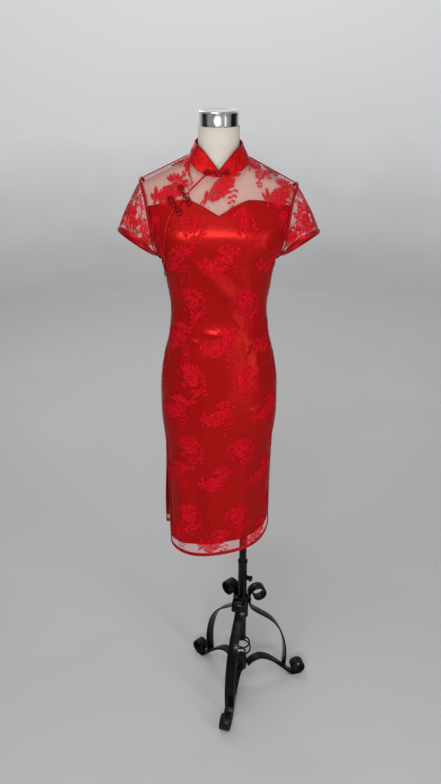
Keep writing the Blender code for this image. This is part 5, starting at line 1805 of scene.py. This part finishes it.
# %% The pole and its flange
POLE_RADIUS, TUBE_RADIUS, TUBE_BORE = 0.0110, 0.0135, 0.0113
TUBE_FOOT, TUBE_TOP, POLE_FOOT, POLE_TOP = 0.190, 0.497, 0.300, 0.9447
RING_FOOT, RING_TOP, RING_RADIUS, RING_WINDINGS = 0.285, 0.362, 0.0190, 7
HUB_FOOT, HUB_TOP, HUB_RADIUS = 0.066, 0.118, 0.0170
POLE_AXIS = (POLE_X, POLE_Y, 0)

pole_rows = [(POLE_RADIUS, height) for height in (POLE_FOOT, 0.62, 0.80, POLE_TOP)]
turned("pole", pole_rows, POLE_STEEL, "pole", "pole_steel", POLE_AXIS)

turned(
    "form_flange",
    [
        (0.0113, POLE_TOP - 0.0120),
        (0.0150, POLE_TOP - 0.0120),
        (0.0172, POLE_TOP - 0.0085),
        (0.0300, POLE_TOP - 0.0055),
        (0.0400, POLE_TOP - 0.0040),
        (0.0400, POLE_TOP - 0.0004),
        (0.0113, POLE_TOP - 0.0004),
    ],
    IRON,
    "form",
    "stand_iron",
    POLE_AXIS,
    hollow=True,
)

# %% The tube and the rings round it
turned(
    "stand_tube",
    [
        (TUBE_BORE, TUBE_FOOT),
        (TUBE_RADIUS, TUBE_FOOT),
        (TUBE_RADIUS, TUBE_TOP - 0.0100),
        (TUBE_RADIUS + 0.0012, TUBE_TOP - 0.0090),
        (TUBE_RADIUS + 0.0012, TUBE_TOP),
        (TUBE_BORE, TUBE_TOP),
    ],
    IRON,
    "stand",
    "stand_iron",
    POLE_AXIS,
    hollow=True,
)

inner = TUBE_RADIUS + 0.0003
bands = [(inner, RING_FOOT), (RING_RADIUS - 0.0012, RING_FOOT)]
for k in range(RING_WINDINGS):
    low = RING_FOOT + 0.0010 + k * (RING_TOP - RING_FOOT - 0.0010) / RING_WINDINGS
    bands += [
        (RING_RADIUS, low),
        (RING_RADIUS - 0.0001 * (k % 3), low + 0.0085),
        (RING_RADIUS - 0.0016, low + 0.0097),
    ]
turned(
    "stand_collar",
    [*bands, (inner, RING_TOP)],
    IRON_MATT,
    "stand",
    "stand_iron",
    POLE_AXIS,
    bevel=0.0003,
    hollow=True,
    sides=40,
)

turned(
    "stand_hub",
    [
        (0.0120, HUB_FOOT),
        (HUB_RADIUS, HUB_FOOT + 0.0030),
        (HUB_RADIUS, HUB_TOP - 0.0090),
        (0.0148, HUB_TOP - 0.0070),
        (0.0148, HUB_TOP - 0.0040),
        (HUB_RADIUS - 0.0010, HUB_TOP),
    ],
    IRON_MATT,
    "stand",
    "stand_iron",
    POLE_AXIS,
)

# %% [markdown]
# ## The clamp
#
# A short boss on the tube takes a thumb screw whose tip presses on the pole. A thread could be
# swept along a helix, but it would never show, so the shank is plain. The knob is gripped
# by the fingers, so its rim is fluted: two of every four edges of the turned shape are pulled in.

# %% The boss and the thumb screw
SCREW_ANGLE, SCREW_Z = math.radians(62.0), 0.436
SCREW_OUT = (math.sin(SCREW_ANGLE), -math.cos(SCREW_ANGLE), 0)
SCREW_CENTRE = (POLE_X, POLE_Y, SCREW_Z)
SCREW_RADIUS, SCREW_HOLE = 0.0030, 0.0034
BOSS_RADIUS, BOSS_FOOT, BOSS_FACE = 0.0075, 0.0125, 0.0205
KNOB_FOOT, KNOB_RADIUS, KNOB_SIDES, FLUTE = BOSS_FACE + 0.0020, 0.0095, 40, 0.90

boss_rows = [
    (SCREW_HOLE, BOSS_FOOT),
    (BOSS_RADIUS, BOSS_FOOT),
    (BOSS_RADIUS, BOSS_FACE),
    (SCREW_HOLE, BOSS_FACE),
]
turned(
    "clamp_boss",
    boss_rows,
    IRON,
    "stand",
    "stand_iron",
    SCREW_CENTRE,
    SCREW_OUT,
    bevel=0.0009,
    sides=32,
    hollow=True,
)

knob = turn_up(
    [
        (SCREW_RADIUS - 0.0006, POLE_RADIUS + 0.0003),
        (SCREW_RADIUS, POLE_RADIUS + 0.0010),
        (SCREW_RADIUS, KNOB_FOOT),
        (0.0078, KNOB_FOOT + 0.0012),
        (KNOB_RADIUS, KNOB_FOOT + 0.0030),
        (KNOB_RADIUS, KNOB_FOOT + 0.0062),
        (0.0080, KNOB_FOOT + 0.0082),
        (0.0045, KNOB_FOOT + 0.0095),
    ],
    sides=KNOB_SIDES,
)
for vertex in knob.data.vertices:
    x, y, _ = vertex.co
    flute = round(math.atan2(y, x) / (2 * math.pi) * KNOB_SIDES) % 4 < 2
    if math.hypot(x, y) > FLUTE * KNOB_RADIUS and flute:
        vertex.co.x, vertex.co.y = FLUTE * x, FLUTE * y
set_on(SCREW_CENTRE, SCREW_OUT)
finish_hard("clamp_screw", IRON, "clamp_screw", bevel=0.0005)

# %% [markdown]
# ## The iron straps
#
# Each leg is two flat bars, bent cold over a form: an upper one that curls in a scroll at the pole
# and bows down to the ground, and a lower one that arches out and ends in a rolled foot. A flat
# curve drawn in the leg's own plane, given a width, is just such a ribbon. As a mesh it gets its
# thickness and its rounded edges. One of each is made, and copies are turned round the pole.

# %% The straps' middle lines
LEG_ANGLES = (("front", -15.7), ("right", 104.3), ("left", 224.3))
STRAP_WIDTH, STRAP_THICKNESS = 0.030, 0.0045
UPPER_RAIL = (
    (0.0216, 0.342),
    (0.0216, 0.330),
    (0.0262, 0.317),
    (0.0410, 0.300),
    (0.0620, 0.282),
    (0.0870, 0.260),
    (0.1080, 0.235),
    (0.1290, 0.194),
    (0.1430, 0.141),
    (0.1470, 0.091),
    (0.1440, 0.0412),
)
LOWER_RAIL = (
    (0.0188, 0.0790),
    (0.0400, 0.0955),
    (0.0650, 0.1000),
    (0.0950, 0.0850),
    (0.1250, 0.0560),
    (0.1500, 0.0280),
    (0.1660, 0.0100),
)
FOOT_FLAT = (0.1765, STRAP_THICKNESS / 2)
Curl = namedtuple("Curl", "r z wide narrow start turn")
SCROLL = Curl(0.0500, 0.3640, 0.0295, 0.0150, 205, -390)
FOOT_CURL = Curl(0.1900, 0.0262 + STRAP_THICKNESS / 2, 0.0262, 0.0135, -90, 400)
STRAP_STEP, TOOTH = 0.0030, 0.94
STRAP_BEVEL, STRAP_BEVEL_ANGLE, STRAP_SMOOTH_ANGLE = 0.0009, 50, 40


def curled(curl, steps=60):
    """A spiral in the leg's plane whose radius shrinks over its turn."""
    w = np.linspace(0, 1, steps)
    a = np.radians(curl.start + curl.turn * w)
    reach = curl.wide + (curl.narrow - curl.wide) * w
    return np.stack([curl.r + reach * np.cos(a), curl.z + reach * np.sin(a)], axis=1)


def drawn(name, line, **settings):
    """A curve through a line of places, made a mesh with the curve's own width or section."""
    bpy.ops.object.select_all(action="DESELECT")
    curve = bpy.data.curves.new(name, "CURVE")
    for word, value in settings.items():
        setattr(curve, word, value)
    spline = curve.splines.new("POLY")
    spline.points.add(len(line) - 1)
    for point, place in zip(spline.points, line):
        point.co = (*place, 1)
    made = put(name, curve)
    bpy.context.view_layer.objects.active = made
    made.select_set(True)
    bpy.ops.object.convert(target="MESH")
    return bpy.context.view_layer.objects.active


# %% The bars, bent and set round the pole
def bent_strap(name, line, toothed):
    """One bar along a line in the upright plane, with toothed edges if they are left rough."""
    flat_line = [(r, z, 0) for r, z in line]
    strap = drawn(name, flat_line, dimensions="2D", extrude=STRAP_WIDTH / 2, fill_mode="NONE")
    if toothed:
        order = np.argsort([v.co.z for v in strap.data.vertices])
        for edge in (order[: len(line)], order[len(line) :]):
            for k in sorted(int(i) for i in edge)[::2]:
                strap.data.vertices[k].co.z *= TOOTH
    solid = strap.modifiers.new("thickness", "SOLIDIFY")
    solid.thickness, solid.offset = STRAP_THICKNESS, 0
    edge = strap.modifiers.new("edges", "BEVEL")
    edge.width, edge.segments = STRAP_BEVEL, 2
    edge.limit_method, edge.angle_limit = "ANGLE", math.radians(STRAP_BEVEL_ANGLE)
    for modifier in ("thickness", "edges"):
        bpy.ops.object.modifier_apply(modifier=modifier)
    bpy.ops.object.shade_smooth_by_angle(angle=math.radians(STRAP_SMOOTH_ANGLE))
    strap.select_set(False)
    return strap


def set_round(strap, kind, finish):
    """Three copies of a strap, turned round the pole, each with its own mesh."""
    for word, angle in LEG_ANGLES:
        node = f"{kind}_{word}"
        leg = put("forged_" + node, strap.data.copy())
        cos, sin = math.cos(math.radians(angle)), math.sin(math.radians(angle))
        turn = Matrix(((sin, -cos, 0), (0, 0, 1), (-cos, -sin, 0))).transposed().to_4x4()
        leg.data.transform(Matrix.Translation(POLE_AXIS) @ turn)
        hand_over(leg, node, finish, "stand")
    bpy.data.objects.remove(strap)


upper_line = np.concatenate([curled(SCROLL)[::-1], smooth_line(UPPER_RAIL, STRAP_STEP)[1:]])
bow = smooth_line((*LOWER_RAIL, FOOT_FLAT), STRAP_STEP)
lower_line = np.concatenate([bow[:-1], curled(FOOT_CURL)])
strap = bent_strap("rail_upper", smooth_line(upper_line, STRAP_STEP), toothed=False)
set_round(strap, "rail_upper", IRON)
strap = bent_strap("rail_lower", smooth_line(lower_line, STRAP_STEP), toothed=True)
set_round(strap, "rail_lower", IRON_MATT)
print("each leg takes", round(lengths(upper_line)[-1], 2), "m of strap above")

# %% [markdown]
# ## The coil
#
# Between the hub and the tube a thin rod winds round the axis as an ornament. It is a curve through
# a helix whose radius swells in the middle, given a round section and made a mesh. A Screw
# modifier makes a helix too, but always one of the same radius.

# %% The wound rod
COIL_RADIUS, COIL_ENDS, COIL_ROD, COIL_GAP = 0.0280, 0.0100, 0.0026, 0.0003
COIL_TURNS, COIL_SWELL = 2.25, 2.2
w = np.linspace(0, 1, 140)
a = 2 * math.pi * COIL_TURNS * w
r = COIL_ENDS + (COIL_RADIUS - COIL_ENDS) * np.minimum(1.0, np.sin(math.pi * w) * COIL_SWELL)
low, high = HUB_TOP + COIL_ROD + COIL_GAP, TUBE_FOOT - COIL_ROD - COIL_GAP
helix = np.stack([POLE_X + r * np.cos(a), POLE_Y + r * np.sin(a), low + (high - low) * w], axis=1)
section = {"bevel_depth": COIL_ROD, "bevel_resolution": 4, "use_fill_caps": True}
drawn("stand_coil", helix, dimensions="3D", **section)
finish_hard("stand_coil", IRON, "stand", bevel=0)

# %% [markdown]
# ## What is cloth
#
# The panels, sleeves and collar are sheets. The flat size that each was cut to is measured on
# its own grid, and listed with its area.

# %% The sheets' flat sizes
declare(*lace_front, "draped", [satin_front[0]], [hem_front, opening_edge])
declare(*lace_back, "draped", [satin_back[0]], [hem_back, *shoulder_edges])
declare(*lace_side, "draped", [satin_side[0]])
for panel in (satin_front, satin_back, satin_side):
    declare(*panel, "draped", [torso])
for side, word in SIDES:
    sleeve, band, grid, flat = sleeves[side]
    declare(sleeve, grid, flat, "hung", [lace_front[0], lace_back[0]], [band, arm_edges[side]])
declare(collar, collar_grid, collar_flat, "draped", [lace_front[0], lace_back[0]], [collar_roll])
for name, width, length, area in CUTS:
    print(f"{name}: {width:.3f} by {length:.3f} m, {area:.4f} square metres")
print(f"the whole cut is {sum(cut[3] for cut in CUTS):.3f} square metres")

# %% [markdown]
# ## Floor and light
#
# The floor and the backdrop are one round sheet, like a studio sweep turned about the dress: flat
# under the stand and rising far behind every camera place. It is a stage piece, so it is no part
# of the dress. Large soft lamps give satin its broad shine. A small hard lamp would only give it
# a dot. The tall lamp panels are also what the polished neck cap and the iron straps mirror.

# %% The floor and the lamps
SWEEP = ((1.2, 0.0), (4.3, 0.0), (4.9, 0.12), (5.3, 0.5), (5.5, 1.1), (5.6, 2.2), (5.7, 4.4))
SWEEP_SIDES = 96


def sweep_sheet():
    """A round floor that rises into a wall behind every camera place."""
    shape = bmesh.new()
    rings = []
    for r, z in SWEEP:
        a = [2 * math.pi * k / SWEEP_SIDES for k in range(SWEEP_SIDES)]
        rings.append([shape.verts.new((r * math.cos(t), r * math.sin(t), z)) for t in a])
    shape.faces.new(rings[0])
    for low, high in zip(rings, rings[1:]):
        for k in range(SWEEP_SIDES):
            j = (k + 1) % SWEEP_SIDES
            shape.faces.new((low[k], high[k], high[j], low[j]))
    bmesh.ops.recalc_face_normals(shape, faces=shape.faces)
    mesh = bpy.data.meshes.new("floor")
    shape.to_mesh(mesh)
    shape.free()
    mesh.shade_smooth()
    return mesh


paper = Finish("pale floor", (0.62, 0.615, 0.61), 0.9)
# Painted light and shade: the sweep's colour is darker low down and lighter up the wall, as light
# falls on it, with soft uneven patches.
cloudy = paper.noise(paper.place(), 1.4, 3)
high = (paper.axes(paper.place())[2] - 0.22 + cloudy * 0.4).held()
paper.set(base_color=paper.blend(high, (0.445, 0.44, 0.435), (0.73, 0.735, 0.74)))
floor = put("floor", sweep_sheet())
floor.data.materials.append(paper.material)
floor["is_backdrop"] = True


def lamp(name, place, aim, size, watts, colour):
    """A square soft lamp that looks at a point."""
    data = bpy.data.lights.new(name, "AREA")
    data.shape, data.size, data.size_y = "RECTANGLE", *size
    data.energy, data.color = watts, colour
    made = put(name, data)
    made.location = place
    made.rotation_euler = (Vector(aim) - Vector(place)).to_track_quat("-Z", "Y").to_euler()


lamp("key lamp", (-0.35, -2.4, 1.76), (0, 0, 1.45), (1.1, 0.34), 44, (1.0, 0.985, 0.97))
lamp("top lamp", (-0.7, -1.3, 3.9), (0, 0, 1.3), (1.8, 1.8), 36, (1.0, 0.99, 0.98))
lamp("side lamp", (1.9, -2.3, 1.65), (0, 0, 1.3), (0.5, 1.7), 24, (0.96, 0.98, 1.0))
lamp("rear lamp", (-0.9, 2.4, 2.5), (0, 0, 1.1), (1.4, 1.4), 12, (1.0, 0.99, 0.98))
lamp("low lamp", (1.5, -2.3, 0.40), (0, 0, 1.35), (0.9, 0.6), 9, (1.0, 0.99, 0.98))
lamp("back lamp", (0.0, 2.2, 4.2), (0, 4.6, 2.0), (3.0, 1.4), 90, (0.98, 0.99, 1.0))
world = bpy.data.worlds.new("world")
bpy.context.scene.world = world
world.use_nodes = True
world.node_tree.nodes["Background"].inputs["Color"].default_value = (0.80, 0.83, 0.88, 1)
world.node_tree.nodes["Background"].inputs["Strength"].default_value = 0.36
bpy.context.scene.view_settings.view_transform = "Standard"

# %% Sizes, and the end
low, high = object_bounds()
print("the dressed part is", [round(b - a, 4) for a, b in zip(low, high)], "m")
